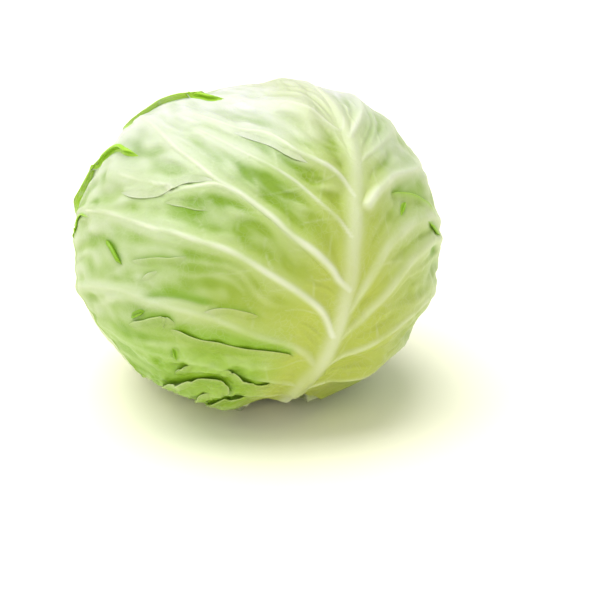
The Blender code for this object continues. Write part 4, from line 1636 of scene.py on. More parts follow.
@dataclass
class FrontLeaf(WrapperLeaf):
    """The big front leaf: forked midrib, torn and rolled upper left, crumpled lower left."""

    row_count: int = 301
    column_count: int = 121
    curl_steps: int = 10
    hidden_inside: bool = False
    pillow: float = 1.8
    raise_all: float = 0.7
    bubble: float = 0.42
    pleat: float = 0.62
    curls_left: tuple[Curl, ...] = (
        Curl(0.0, 20.0, 1.2, 0.2), Curl(1.0, 60.0, 1.8, 0.4), Curl(2.0, 25.0, 1.4, 0.2),
        Curl(3.0, 70.0, 2.0, 0.4), Curl(4.0, 20.0, 1.2, 0.15), Curl(5.0, 20.0, 1.2, 0.15),
        Curl(5.9, 25.0, 1.4, 0.2), Curl(6.1, 60.0, 3.4, 0.8), Curl(6.25, 140.0, 5.2, 1.0),
        Curl(6.5, 225.0, 5.6, 0.9), Curl(7.1, 225.0, 4.8, 0.9),
        Curl(7.35, 160.0, 2.6, 0.8), Curl(7.6, -30.0, 1.6, 0.1), Curl(8.8, -30.0, 1.6, 0.0),
        Curl(9.0, 100.0, 1.4, 0.8), Curl(9.5, 200.0, 3.4, 0.9), Curl(10.1, 225.0, 5.2, 0.9),
        Curl(10.7, 225.0, 5.4, 1.0), Curl(11.1, 220.0, 4.8, 1.0), Curl(11.35, 160.0, 2.8, 1.0),
        Curl(11.5, 20.0, 1.4, 0.3), Curl(11.7, -30.0, 1.6, 0.0),
        Curl(14.0, -20.0, 1.2, 0.0),
    )
    curls_right: tuple[Curl, ...] = (
        Curl(0.0, 15.0, 1.2, 0.1), Curl(2.0, 50.0, 1.8, 0.3), Curl(4.0, 20.0, 1.3, 0.2),
        Curl(6.5, 100.0, 2.4, 0.5), Curl(8.5, 25.0, 1.4, 0.2), Curl(10.0, 120.0, 2.6, 0.6),
        Curl(11.5, 20.0, 1.4, 0.2), Curl(14.0, 10.0, 1.2, 0.05),
    )

    def side_curls(self, side: Side) -> tuple[Curl, ...]:
        """How the margin rolls on one side."""
        return self.curls_left if side is Side.LEFT else self.curls_right

    def margin_jag(self, side: Side, rows: np.ndarray) -> np.ndarray:
        """How far the margin wanders: more where the lower left is torn.

        Args:
            side: which margin.
            rows: fractional row numbers.

        Returns:
            Millimetres for each row.
        """
        jag = np.full(len(rows), 0.35)
        if side is Side.LEFT:
            jag += 2.0 * step_between(rows, 4.6, 3.0)
        return jag

    def midrib(self) -> Vein:
        """The midrib, which leans to the right toward its tip."""
        path = ((-3, -114), (-5, -92), (-3, -75), (-1, -58), (0, -30), (0, -15), (3, 7), (8, 31),
                (9, 42), (11, 55), (12, 66), (13, 78), (13, 100))
        return Vein(path, (6.6, 2.0), (3.0, 0.8), 0.8)

    def side_veins(self) -> list[Vein]:
        """Side veins where they show from the front, and carried on round both sides."""
        return [
            Vein(((8, 33), (18, 43), (32, 58), (44, 74), (52, 92)), (2.0, 0.8), (1.6, 0.4)),
            Vein(((10, 44), (5, 37), (-5, 48), (-21, 63), (-38, 78)), (1.1, 0.5), (0.9, 0.2), 1.0),
            Vein(((2, 5), (-3, 14), (-18, 25), (-29, 38), (-43, 45), (-62, 66)),
                 (1.2, 0.6), (1.2, 0.3), 1.05),
            Vein(((-1, -12), (-6, -5), (-13, 2), (-22, 12), (-32, 21), (-39, 27), (-47, 35), (-58, 47)),
                 (1.0, 0.5), (0.9, 0.3), 0.9),
            Vein(((0, -34), (-6, -29), (-9, -25), (-18, -17), (-27, -10), (-33, -3), (-40, 4), (-46, 10),
                  (-54, 17), (-60, 25), (-69, 38), (-75, 52), (-82, 72), (-86, 88)), (1.9, 0.7),
                 (1.7, 0.4), 1.15),
            Vein(((-46, 10), (-52, 14), (-58, 16), (-65, 16), (-73, 16), (-84, 17), (-96, 22)), (1.3, 0.6),
                 (1.1, 0.3), 1.1),
            Vein(((-66, 16), (-74, 19), (-84, 24), (-92, 30), (-104, 38)), (1.0, 0.5), (0.9, 0.3), 0.85),
            Vein(((-3, -56), (-11, -44), (-22, -35), (-37, -25), (-51, -15), (-66, -8), (-76, -3),
                  (-84, 0), (-99, 9), (-110, 16), (-121, 21), (-136, 28)), (1.9, 0.8), (1.8, 0.4), 1.15),
            Vein(((-4, -76), (-14, -66), (-26, -60), (-39, -55), (-53, -48), (-68, -42), (-86, -37),
                  (-104, -30), (-122, -27), (-138, -26)), (2.2, 1.0), (1.3, 0.4), 0.5),
            Vein(((-5, -92), (-20, -86), (-38, -81), (-60, -72), (-82, -68), (-106, -64), (-126, -56)),
                 (1.7, 0.8), (1.0, 0.3), 0.4),
            Vein(((-4, -104), (-24, -100), (-46, -97), (-70, -98), (-90, -98)), (1.3, 0.6), (0.8, 0.3), 0.4),
            Vein(((7, 1), (12, 6), (18, 10), (27, 15), (38, 18), (48, 21), (62, 28), (80, 42)),
                 (2.5, 0.8), (2.4, 0.4)),
            Vein(((3, 8), (6, 17), (11, 22), (23, 29), (40, 40), (60, 58)), (1.2, 0.6), (1.0, 0.3), 0.6),
            Vein(((3, -44), (10, -29), (18, -16), (28, -9), (40, -4), (55, -2), (68, -2),
                  (84, 3), (104, 14)), (2.4, 2.8), (1.5, 1.3), 0.6),
            Vein(((2, -58), (10, -48), (20, -36), (32, -24), (46, -16), (64, -11), (88, -8),
                  (112, -6)), (2.2, 2.8), (1.4, 1.2), 0.55),
            Vein(((-2, -76), (12, -64), (30, -53), (52, -44), (78, -38), (106, -34)), (1.9, 1.0), (1.4, 0.6),
                 0.6),
            Vein(((-4, -96), (18, -86), (44, -77), (74, -72), (98, -70)), (1.6, 0.8), (1.2, 0.5), 0.6),
        ]

    def creases(self) -> list[Crease]:
        """Folds of the lower left, pockets among its torn flaps, and small tears."""
        shallow = {"overhang": 0.3, "roll": 50.0, "roll_radius": 0.3}
        lap = {"green": 0.1, "painted_shade": 0.0, "overhang": 0.4, "roll": 220.0, "rim": 1.0}
        return [
            Crease(((-18, -69), (-28, -66), (-38, -64), (-44, -63), (-51, -61), (-57, -59), (-64, -58),
                    (-70, -56), (-76, -53), (-82, -51)), 3.0, 9.0, 0.7, ends=(6.0, 9.0)),
            Crease(((-75, -50), (-81, -46), (-85, -46), (-92, -48), (-99, -50), (-105, -52)), 2.0, 4.6, 0.5),
            Crease(((-57, -39), (-65, -37), (-74, -34), (-84, -33), (-95, -34)), 1.5, 4.2, 0.0, 0.7, 0.35),
            Crease(((-22, -86), (-27, -88), (-33, -89), (-37, -86), (-43, -82), (-49, -76), (-55, -75)),
                   2.4, 6.0, 0.8),
            Crease(((-79, -61), (-77, -66), (-75, -71)), 1.0, 1.6, 0.35, 0.7, 0.4, 0.2, 180.0, 0.45, 0.8),
            Crease(((-67, -71), (-73, -77), (-79, -84)), 2.2, 4.2, 1.1),
            Crease(((-47, -99), (-48, -92), (-52, -85), (-58, -83), (-67, -85), (-77, -90), (-86, -99)),
                   2.4, 5.5, 1.3),
            Crease(((-56, -93), (-60, -98), (-61, -109), (-61, -122)), 2.4, 5.0, 1.3),
            Crease(((-33, -101), (-40, -100), (-46, -103), (-52, -110), (-54, -122)), 2.2, 4.6, 1.3),
            Crease(((-66, -15), (-76, -16), (-84, -15), (-91, -15), (-100, -14)),
                   1.3, 3.0, 0.3, 0.4, 0.3, **shallow),
            Crease(((-81, -20), (-90, -23), (-96, -27)), 0.9, 2.0, 0.25, 0.4, 0.3, **shallow),
            Crease(((-36, -46), (-46, -43), (-55, -41), (-66, -42)), 1.1, 2.8, 0.25, 0.45, 0.2, **shallow),
            Crease(((-103, 26), (-94, 20), (-87, 17), (-80, 16), (-73, 18), (-66, 19), (-54, 17)),
                   1.2, 3.0, 0.3, 0.35, 0.1, **shallow),
            Crease(((-80, 12), (-72, 9), (-65, 6), (-57, 3)), 1.2, 3.4, 0.3, 0.5, 0.2, **shallow),
            Crease(((-46, 43), (-37, 37), (-30, 32), (-23, 25), (-14, 19)),
                   1.0, 2.4, 0.25, 0.3, 0.1, **shallow),
            Crease(((-102, -46), (-98, -44), (-92, -41)),
                   1.2, 1.6, 0.35, 0.8, 0.5, 0.2, 190.0, 0.5, 1.0, (4.0, 4.0)),
            Crease(((-103, -17), (-106, -11), (-109, -5), (-114, 1)),
                   1.2, 1.8, 0.4, 0.8, 0.5, 0.2, 200.0, 0.62, 1.0, (6.0, 6.0)),
            Crease(((-152, 9), (-147, 19), (-137, 24), (-130, 24), (-122, 16)),
                   1.0, 2.2, 0.4, 0.5, 0.3, 0.3, 120.0, 0.4, 0.6),
            Crease(((-114, 20), (-116, 25), (-122, 28)), 0.8, 1.8, 0.0, 0.6, 0.3),
            Crease(((56, -2), (54, 1), (49, 4), (43, 6), (35, 7), (28, 7), (20, 6)),
                   1.6, 4.0, 0.4, 0.5, 0.1, 0.4, 60.0, 0.4, 0.45),
            Crease(((28, -4), (30, 1), (34, 5)), 0.8, 1.2, 0.25, 0.5, 0.3, 0.2, 180.0, 0.35, 0.9),
            Crease(((45, -4), (55, -6), (70, -9)), 1.0, 1.6, 0.35, 0.9, 0.4, 0.3, 190.0, 0.42, 0.9),
            Crease(((50, -18), (55, -16), (61, -16), (65, -20)), 1.2, 3.6, 0.0, 1.0, 0.4),
            Crease(((-88, 42), (-94, 48), (-98, 54), (-106, 59), (-116, 60), (-126, 57)),
                   0.2, 1.2, 0.9, roll_radius=0.85, ends=(9.0, 16.0), **lap),
            Crease(((-38, 74), (-44, 78), (-51, 86), (-58, 94)),
                   0.2, 1.0, 0.5, roll_radius=0.8, ends=(12.0, 9.0), **lap),
        ]

    def crumple(self, places: np.ndarray) -> np.ndarray:
        """Sharp small folds among the torn flaps of the lower left.

        Args:
            places: points on the sheet, one to a row.

        Returns:
            Millimetres for each place.
        """
        x, y = places[:, 0], places[:, 1]
        torn = step_between(-x, 26.0, 48.0) * step_between(-y, 56.0, 78.0) * step_between(-x, 104.0, 88.0)
        folds = 0.5 - np.abs(ripple(places, 14.0, self.seed + 71))
        return torn * (1.0 + 0.9 * folds + 0.35 * ripple(places, 6.0, self.seed + 72))

    def tints(self, places: np.ndarray, distance: np.ndarray) -> dict[str, np.ndarray]:
        """Green in the hollows near the midrib, paler toward the upper left with a painted highlight toward
        the top, yellow at the foot.

        Args:
            places: points on the sheet, one to a row.
            distance: distance to the nearest large vein.

        Returns:
            Marks for the material.
        """
        x, y = places[:, 0], places[:, 1]
        along, across = 0.85 * np.abs(x) + 0.53 * y, 0.85 * y - 0.53 * np.abs(x)
        streak = ripple(np.stack((along / 3.2, across), axis=-1), 13.0, self.seed + 31)
        patch = np.clip(0.5 + 0.5 * streak, 0.0, 1.0)
        from_foot = lengths((places - np.array((0.0, -92.0))) * np.array((1.0, 0.8)))
        near = step_between(distance, 0.5, 6.0)
        left = step_between(-x, -12.0, 6.0)
        right = 1.0 - left
        inner = step_between(-x, 80.0, 38.0) * step_between(y, 36.0, 12.0) * step_between(y, -60.0, -26.0)
        # Toward the top the blade is painted paler and less green: a painted highlight where the light falls
        # strongest.
        upper = step_between(y - 0.25 * np.abs(x + 20.0), 26.0, 68.0)
        middle = step_between(y - 0.30 * np.abs(x + 40.0), 0.0, 28.0)
        torn = step_between(-x, 14.0, 44.0) * step_between(-y, 44.0, 74.0)
        far_left = step_between(-x, 60.0, 120.0)
        hollow = left * (0.25 + 0.84 * inner * (1.0 + 0.3 * step_between(y, -12.0, 6.0)) + 0.26 * middle)
        hollow += right * (0.38 - 0.10 * step_between(-y, 10.0, 40.0) - 0.08 * step_between(y, 5.0, 30.0))
        # Less green toward the top: part of the painted highlight.
        hollow = near * (hollow + 0.22 * (patch - 0.4)) * (1.0 - 0.4 * upper) + torn * (0.32 + 0.36 * patch)
        pale = left * (1.0 - inner) * (0.19 + 0.10 * far_left + 0.26 * middle) * step_between(y, -64.0, -32.0)
        pale += right * (0.05 + 0.22 * step_between(y, 0.0, 32.0)) + 0.18 * (1.0 - near) - 0.14 * patch * left
        pale = np.clip(pale, 0.0, 1.0)
        # The top is whitened toward the pale colour: painted highlight.
        pale = (pale + (1.0 - pale) * 0.8 * upper) * (1.0 - 0.8 * torn)
        core = step_between(from_foot, 110.0, 22.0) + 0.3 * step_between(np.abs(x), 28.0, 5.0)
        return {"hollow": hollow, "pale": pale, "core": np.clip(core * (1.0 - 0.6 * torn), 0.0, 1.0),
                "rim": 0.30 * torn}


@dataclass
class ClosedBall:
    """The tight ball of inner leaves, whose outer ones overlap round the crown."""

    head: HeadForm
    finish: LeafFinish
    name: str = "closed_ball"
    rings: int = 150
    segments: int = 220
    plain_radius: float = 80.0
    fold_edge: float = 1.3
    net_size: float = 9.0
    net_height: float = 0.12
    swell_place: tuple[float, float] = (-66.0, 122.0)
    swell_height: float = 2.0
    swell_reach: float = 20.0
    folds: tuple = ((200.0, 70.0, 82.0, 1.1), (60.0, 78.0, 74.0, 1.1), (-45.0, 62.0, 66.0, 1.3),
                    (130.0, 58.0, 52.0, 0.9), (-110.0, 66.0, 60.0, 0.9))

    def make(self, nodes: dict[str, bpy.types.Object], groups: EffectGroups) -> Skin:
        """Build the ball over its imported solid.

        Args:
            nodes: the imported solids.
            groups: the shared shader effects.

        Returns:
            The ball's skin.
        """
        node = Skin.of_node(nodes["closed_head"], self.head)
        leans = math.pi * (np.arange(1, self.rings) / self.rings)
        turns = math.tau * np.arange(self.segments) / self.segments
        directions = self.head.turned(turns[None, :], leans[:, None])
        radius = node.outermost(directions)
        ends = node.outermost(np.stack((self.head.crown_axis, self.head.stem_axis)))
        wrapped = np.concatenate((radius[:, -6:], radius, radius[:, :6]), axis=1)
        radius = blurred(wrapped, 3)[:, 6:-6]
        flat = directions.reshape(-1, 3) * self.plain_radius
        relief, green = self.relief(flat)
        low = relief.reshape(radius.shape)
        points = (directions * (radius + low)[..., None]).reshape(-1, 3)
        poles = np.stack((self.head.crown_axis * ends[0], self.head.stem_axis * ends[1]))
        points = np.concatenate((points, poles))
        faces = ringed(self.rings - 1, self.segments)
        sheet = np.concatenate((flat, poles)) * MM
        zero = np.zeros(len(points))
        tones = np.concatenate((green, (0.0, 0.0)))
        marks = {"sheet": sheet, "vein": zero, "hollow": 0.2 * tones, "pale": zero + 0.88,
                 "core": zero + 0.03, "rim": 0.12 * tones, "painted_shade": zero}
        material = self.finish.dressed(groups)
        handed_over(closed_mesh(self.name, points, faces, self.head, marks, material), "closed_head")
        return Skin(points, faces.tolist())

    def relief(self, places: np.ndarray) -> tuple[np.ndarray, np.ndarray]:
        """Steps of the overlapping leaves and their fine veins.

        Args:
            places: points on a plain ball, in millimetres.

        Returns:
            Height, and how green each place is.
        """
        directions = unit(places)
        height = -1.0 + 0.25 * ripple(places, 26.0, 71) - self.head.kept_under(directions)
        green = np.zeros(len(places))
        swell = self.head.wrapped(0.0, np.array(self.swell_place, dtype=float))
        away = self.plain_radius * np.arccos(np.clip(directions @ swell, -1.0, 1.0))
        height += self.swell_height * np.exp(-(away / self.swell_reach) ** 2)
        for number, (turn, lean, reach, step) in enumerate(self.folds):
            centre = self.head.turned(math.radians(turn), math.radians(lean))
            away = np.degrees(np.arccos(np.clip(directions @ centre, -1.0, 1.0)))
            edge = reach + 1.6 * ripple(places, 30.0, 80 + number) + 0.5 * ripple(places, 9.0, 90 + number)
            inside = (edge - away) * math.radians(1.0) * self.plain_radius
            height += step * step_between(inside, -0.5 * self.fold_edge, 0.5 * self.fold_edge)
            height += 0.35 * np.exp(-((inside - 1.2) / 1.2) ** 2)
            green = np.maximum(green, np.exp(-((inside + 0.6) / 1.3) ** 2))
        flat = np.stack((places @ self.head.toward_front, places @ self.head.toward_right), axis=1)
        wall = cell_lines(flat, self.net_size, 73)
        height += self.net_height * np.exp(-(wall / 0.7) ** 2)
        return height, green


@dataclass
class CutStem:
    """The cut stump, with a ring of fibre bundles in its face."""

    head: HeadForm
    finish: StemFinish
    name: str = "cut_stem"
    sides: int = 128
    grain_radius: float = 14.0
    ring_share: float = 0.66
    bundle_count: int = 34
    bundle_radius: float = 0.00042
    bevel: float = 1.1

    def profile(self, node: bpy.types.Object) -> tuple[float, float, float, float]:
        """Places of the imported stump's seat and cut along the stem, and its radius at each.

        Args:
            node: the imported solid.

        Returns:
            Seat, cut, and the radius at each.
        """
        points = np.array([vertex.co[:] for vertex in node.data.vertices]) / MM
        points = points - np.array(self.head.middle)
        along = points @ self.head.stem_axis
        away = lengths(points - along[:, None] * self.head.stem_axis)
        seat, cut = along.min(), along.max()
        widest = away.max()
        return float(seat), float(cut), float(away[along < seat + 0.1].max()), float(widest)

    def rings(self, seat: float, cut: float, seat_radius: float, cut_radius: float) -> list[tuple]:
        """Rings of the stump from its seat, round its bevel and in across its cut face.

        Args:
            seat: where the seat lies along the stem.
            cut: where the cut lies.
            seat_radius: radius at the seat.
            cut_radius: radius at the cut.

        Returns:
            Place, radius, and how cut and how dry the stump is, for each ring.
        """
        rings = [(seat, seat_radius - 0.4, 0.0, 0.0)]
        for share in np.linspace(0.0, 1.0, 26):
            place = seat + (cut - self.bevel - seat) * share
            rings.append((place, seat_radius + (cut_radius - seat_radius) * share, 0.0, 0.0))
        for step in range(1, 7):
            turn = math.pi / 2.0 * step / 6
            rings.append((cut - self.bevel * (1.0 - math.sin(turn)),
                          cut_radius - self.bevel * (1.0 - math.cos(turn)), step / 6, 0.8 * step / 6))
        for share in np.linspace(0.96, 0.04, 24):
            dish = 0.35 * (1.0 - share) ** 2 - 0.18 * math.exp(-((share - self.ring_share) / 0.07) ** 2)
            rings.append((cut - dish, (cut_radius - self.bevel) * share, 1.0,
                          0.25 + 0.55 * float(step_between(np.array(share), 0.72, 1.0))))
        return rings

    def make(self, nodes: dict[str, bpy.types.Object], groups: EffectGroups) -> None:
        """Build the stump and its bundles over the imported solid.

        Args:
            nodes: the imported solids.
            groups: the shared shader effects.
        """
        seat, cut, seat_radius, cut_radius = self.profile(nodes["stem"])
        turns = math.tau * np.arange(self.sides) / self.sides
        outward = self.head.turned(turns, np.full(self.sides, math.pi / 2.0))
        round_places = np.stack((np.cos(turns), np.sin(turns)), axis=1) * self.grain_radius
        rings = self.rings(seat, cut, seat_radius, cut_radius)
        points = []
        for number, (place, radius, cut_mark, _) in enumerate(rings):
            wobble = 0.32 * ripple(round_places + number * 0.05, 9.0, 61)
            fibre = 0.10 * ripple(round_places, 1.6, 62) * (1.0 - cut_mark)
            scar = -0.35 * math.exp(-((place - (seat + 0.55 * (cut - seat))) / 1.1) ** 2) * (1.0 - cut_mark)
            inward = -np.abs(wobble) * min(radius / 6.0, 1.0) + fibre + scar
            ring = self.head.stem_axis * place + outward * (radius + inward)[:, None]
            saw = -0.05 - 0.05 * ripple(ring, 2.6, 63)
            points.append(ring + self.head.stem_axis * (saw * cut_mark)[:, None])
        points.append(np.stack((self.head.stem_axis * seat, self.head.stem_axis * (cut - 0.4))))
        marks = {name: np.concatenate((np.repeat([ring[at] for ring in rings], self.sides), poles))
                 for name, at, poles in (("cut", 2, (0.0, 1.0)), ("dry", 3, (0.0, 0.2)))}
        material = self.finish.dressed(groups)
        thing = closed_mesh(self.name, np.concatenate(points), ringed(len(rings), self.sides), self.head,
                            marks, material)
        handed_over(thing, "stem")
        ring_radius = (cut_radius - self.bevel) * self.ring_share
        handed_over(self.bundles(cut - 0.15, ring_radius, material), "stem", False)

    def bundles(self, place: float, radius: float, material: bpy.types.Material) -> bpy.types.Object:
        """The ring of fibre bundles, made with Geometry Nodes and kept as a plain mesh.

        Args:
            place: how far along the stem the ring lies, in millimetres.
            radius: the ring's radius, in millimetres.
            material: what they are made of.

        Returns:
            The bundles as one object at the origin.
        """
        sizes = {"Count": ("NodeSocketInt", self.bundle_count),
                 "Ring Radius": ("NodeSocketFloat", radius * MM),
                 "Bundle Radius": ("NodeSocketFloat", self.bundle_radius),
                 "Seed": ("NodeSocketInt", 5), "Material": ("NodeSocketMaterial", material)}
        work, start, end = NodeWork.group(
            "fibre_bundle_ring", "GeometryNodeTree",
            {label: (kind, None) for label, (kind, _) in sizes.items()},
            {"Geometry": "NodeSocketGeometry"})
        circle = work.node("GeometryNodeMeshCircle",
                           {"Vertices": start["Count"], "Radius": start["Ring Radius"]})
        ball = work.node("GeometryNodeMeshIcoSphere", {"Subdivisions": 2, "Radius": start["Bundle Radius"]})
        size, shift = (work.node("FunctionNodeRandomValue", {0: low, 1: high, "Seed": start["Seed"]},
                                 data_type="FLOAT_VECTOR").outputs[0]
                       for low, high in (((0.8, 0.8, 0.45), (1.9, 1.3, 0.75)),
                                         ((-0.0005, -0.0005, -0.0001), (0.0005, 0.0005, 0.0))))
        moved = work.node("GeometryNodeSetPosition", {"Geometry": circle.outputs["Mesh"], "Offset": shift})
        placed = work.node("GeometryNodeInstanceOnPoints", {
            "Points": moved.outputs["Geometry"], "Instance": ball.outputs["Mesh"], "Scale": size})
        real = work.node("GeometryNodeRealizeInstances", {"Geometry": placed.outputs["Instances"]})
        dressed = work.node("GeometryNodeSetMaterial", {"Geometry": real.outputs["Geometry"],
                                                        "Material": start["Material"]})
        work.feed(end["Geometry"], dressed.outputs["Geometry"])
        holder = bpy.data.objects.new("fibre_bundles_source", bpy.data.meshes.new("fibre_bundles_source"))
        bpy.context.scene.collection.objects.link(holder)
        modifier = holder.modifiers.new("ring", "NODES")
        modifier.node_group = work.tree
        for socket in work.tree.interface.items_tree:
            if socket.in_out == "INPUT":
                modifier[socket.identifier] = sizes[socket.name][1]
        bpy.context.view_layer.update()
        ready = holder.evaluated_get(bpy.context.evaluated_depsgraph_get())
        mesh = bpy.data.meshes.new_from_object(ready)
        bpy.data.objects.remove(holder)
        flat = np.array([vertex.co[:] for vertex in mesh.vertices])
        one, two = self.head.turned(np.array((0.0, math.pi / 2.0)), np.full(2, math.pi / 2.0))
        points = (flat[:, :1] * one + flat[:, 1:2] * two + (flat[:, 2:] + place * MM) * self.head.stem_axis
                  + np.array(self.head.middle) * MM)
        mesh.vertices.foreach_set("co", points.ravel())
        for mark, value in (("cut", 1.0), ("dry", 0.75)):
            layer = mesh.attributes.new(mark, "FLOAT", "POINT")
            layer.data.foreach_set("value", np.full(len(mesh.vertices), value, dtype=np.float32))
        if np.linalg.det(np.stack((one, two, self.head.stem_axis))) < 0.0:
            mesh.flip_normals()
        mesh.shade_smooth()
        mesh.update()
        thing = bpy.data.objects.new("fibre_bundles", mesh)
        bpy.context.scene.collection.objects.link(thing)
        return thing


@dataclass
class Studio:
    """Plain pale floor, soft light and the camera of the photograph's view."""

    head: HeadForm
    elevation: float = math.radians(22.0)
    distance: float = 1.1
    focal_pixels: float = 2293.3
    frame_pixels: float = 600.0
    head_pixel: tuple[float, float] = (256.0, 243.0)
    sensor: float = 36.0
    floor_radius: float = 5.0
    floor_sides: int = 64
    world_strength: float = 0.56
    # Its low blue tints the floor's shadow yellow: painted colour standing in for the yellow-green light that
    # the head sends into its shadow.
    floor_colour: Colour = (0.97, 0.957, 0.78)
    suns: tuple = (("sky_light", (-0.22, 0.10, 1.0), 62.0, 3.0),
                   ("key_light", (-1.0, -0.35, 0.9), 30.0, 0.50),
                   ("fill_light", (0.10, -1.0, 0.6), 60.0, 0.60))

    def make(self) -> None:
        """Add the camera, the floor and the lights."""
        self.camera()
        self.floor()
        self.lights()
        bpy.context.scene.view_settings.view_transform = "Standard"

    def placed(self, name: str, data: bpy.types.ID, away: Vector, place: Vector) -> bpy.types.Object:
        """Put a camera or a light at a place, looking back along a direction.

        Args:
            name: the name it gets.
            data: the camera or the light.
            away: direction that it looks back along.
            place: where it stands.

        Returns:
            The new object.
        """
        thing = bpy.data.objects.new(name, data)
        bpy.context.scene.collection.objects.link(thing)
        thing.location = place
        thing.rotation_euler = (-away).to_track_quat("-Z", "Y").to_euler()
        return thing

    def camera(self) -> None:
        """Camera that sees the head where the photograph has it."""
        lens = bpy.data.cameras.new("camera")
        lens.sensor_width = self.sensor
        lens.lens = self.focal_pixels * self.sensor / self.frame_pixels
        half = self.frame_pixels / 2.0
        lens.shift_x = (half - self.head_pixel[0]) / self.frame_pixels
        lens.shift_y = (self.head_pixel[1] - half) / self.frame_pixels
        back = Vector((0.0, -math.cos(self.elevation), math.sin(self.elevation)))
        bpy.context.scene.camera = self.placed("camera", lens, back,
                                               Vector(self.head.middle) * MM + back * self.distance)

    def floor(self) -> None:
        """Large plain floor."""
        turns = math.tau * np.arange(self.floor_sides) / self.floor_sides
        points = np.stack((np.cos(turns), np.sin(turns), 0.0 * turns), axis=1) * self.floor_radius
        mesh = bpy.data.meshes.new("floor")
        mesh.from_pydata(points, [], [tuple(range(self.floor_sides))])
        thing = bpy.data.objects.new("floor", mesh)
        bpy.context.scene.collection.objects.link(thing)
        made = bpy.data.materials.new("floor")
        made.use_nodes = True
        shader = made.node_tree.nodes["Principled BSDF"]
        shader.inputs["Base Color"].default_value = (*self.floor_colour, 1.0)
        shader.inputs["Roughness"].default_value = 0.9
        mesh.materials.append(made)

    def lights(self) -> None:
        """Broad light from above and the left, a softer fill, and an even pale surround."""
        for name, toward, angle, strength in self.suns:
            light = bpy.data.lights.new(name, "SUN")
            light.angle = math.radians(angle)
            light.energy = strength
            self.placed(name, light, Vector(toward), Vector(toward))
        world = bpy.data.worlds.new("surround")
        world.use_nodes = True
        bpy.context.scene.world = world
        work = NodeWork(world.node_tree)
        back = world.node_tree.nodes["Background"]
        seen = work.sum_of("MULTIPLY", work.node("ShaderNodeLightPath").outputs["Is Camera Ray"],
                           1.0 - self.world_strength)
        work.feed(back.inputs["Color"], (1.0, 1.0, 1.0))
        work.feed(back.inputs["Strength"], work.sum_of("ADD", seen, self.world_strength))


FRONT_ROWS = (
    Row(-112.5, (20, -110), (60, -130), (18, -110), (50, -124)),
    Row(-108, (28, -107), (73, -117), (26, -107), (66, -115)),
    Row(-103, (36, -103), (88, -111), (34, -103), (82, -108)),
    Row(-96, (42, -94), (101, -104), (39, -94), (94, -98)),
    Row(-88, (48, -84), (116, -92), (44, -84), (104, -86)),
    Row(-71, (70, -42), (142, -34), (50, -56), (120, -50)),
    Row(-52, (62, -8), (144, 35), (40, -12), (130, -6)),
    Row(-44, (64, 10), (120, 60), (38, -6), (129, 6)),
    Row(-38, (58, 18), (106, 68), (35, 0), (128, 14)),
    Row(-33, (58, 10), (98, 89), (32, 4), (126, 22)),
    Row(-5, (46, 8), (73, 98), (32, 18), (108, 58)),
    Row(12, (34, 30), (54, 90), (26, 34), (80, 88)),
    Row(34, (14, 54), (32, 102), (28, 62), (58, 106)),
    Row(58, (2, 88), (10, 114), (22, 86), (34, 114)),
    Row(78, (-10, 98), (-13, 118), (10, 98), (13, 118)),
)
PLAIN_ROWS = (
    (-112.5, (20, -110), (54, -124), False), (-102, (36, -104), (88, -114), False),
    (-86, (48, -82), (114, -86), True), (-66, (56, -50), (128, -50), True),
    (-44, (56, -22), (136, -8), True), (-20, (48, 4), (126, 34), True),
    (4, (38, 30), (104, 72), True), (28, (26, 56), (76, 100), True),
    (52, (12, 84), (42, 116), False), (72, (0, 100), (0, 122), False),
)


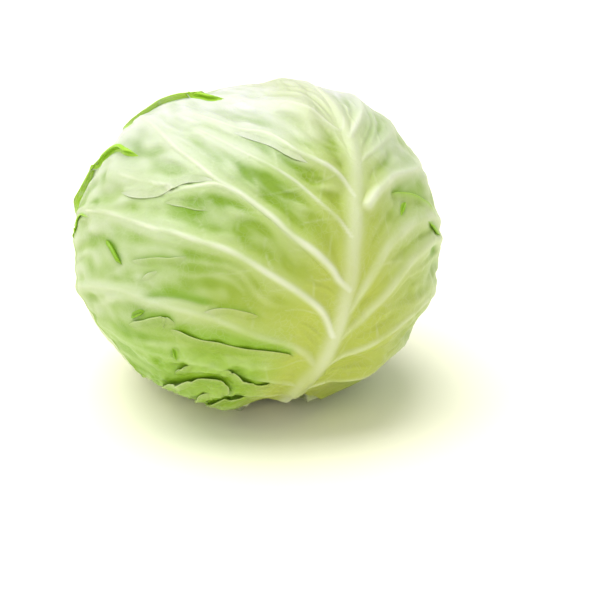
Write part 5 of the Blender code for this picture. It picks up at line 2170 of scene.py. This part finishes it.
def plain_rows(seed: int, left_spread: float, right_spread: float, tip: float) -> tuple[Row, ...]:
    """Rows of a plain wrapper leaf, with its margin waved by seeded draws.

    Args:
        seed: fixes the draws.
        left_spread: how wide the left side is, as a share of the pattern.
        right_spread: the same for the right side.
        tip: how far the leaf reaches, as a share of the pattern.

    Returns:
        The leaf's rows.
    """
    draws = np.random.default_rng(seed)
    rows = []
    for start, bend, end, vein in PLAIN_ROWS:
        rise = (tip - 1.0) * max(end[1], 0.0)
        wander, climb = (5.0, 4.0) if end[0] > 0 else (0.0, 0.0)
        sides = []
        for spread in (left_spread, right_spread):
            across, along = draws.random(3)[:2]
            margin = (end[0] * spread + (2.0 * wander * across - wander),
                      end[1] + rise + (2.0 * climb * along - climb))
            sides.append(((bend[0] * spread, bend[1]), margin))
        rows.append(Row(start, *sides[0], *sides[1], vein))
    return tuple(rows)


def wrapper_leaves(head: HeadForm) -> list[WrapperLeaf]:
    """Every wrapper leaf, from the innermost to the outermost.

    Args:
        head: the head's form.

    Returns:
        The leaves.
    """
    quiet = LeafFinish("leaf_quiet_green", light=(0.393, 0.508, 0.197), deep=(0.23, 0.361, 0.057))
    soft = LeafFinish("leaf_soft_green", light=(0.443, 0.549, 0.238), deep=(0.27, 0.402, 0.082))
    return [
        WrapperLeaf("wrapper_back", "leaf_back", math.radians(125.0), plain_rows(11, 0.98, 0.98, 0.99),
                    4.0, 21, quiet, head),
        WrapperLeaf("wrapper_left", "leaf_left", math.radians(-75.0), plain_rows(12, 1.02, 0.98, 0.98),
                    -4.0, 22, soft, head),
        WrapperLeaf("wrapper_right", "leaf_right", math.radians(75.0), plain_rows(13, 0.95, 1.04, 0.95),
                    3.0, 23, quiet, head),
        WrapperLeaf("wrapper_back_left", "leaf_back_left", math.radians(-150.0),
                    plain_rows(14, 1.06, 0.94, 0.96), -5.0, 24, soft, head, row_count=241,
                    column_count=97),
        FrontLeaf("wrapper_front", "leaf_front", 0.0, FRONT_ROWS, 13.0, 25,
                  LeafFinish("leaf_front_green", patch_share=0.16), head),
    ]


def main() -> None:
    """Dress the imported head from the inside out, then add the stem and the studio."""
    logging.basicConfig(level=logging.INFO, format="%(message)s")
    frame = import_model()
    head = HeadForm()
    groups = EffectGroups()
    cream = LeafFinish("inner_leaf_cream", light=(0.492, 0.582, 0.295), deep=(0.328, 0.451, 0.139))
    below = [ClosedBall(head, cream).make(frame["nodes"], groups)]
    for leaf in wrapper_leaves(head):
        below.append(leaf.make(frame["nodes"], below, groups))
    CutStem(head, StemFinish("cut_stem_cream")).make(frame["nodes"], groups)
    Studio(head).make()
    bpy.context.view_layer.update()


if __name__ == "__main__":
    main()
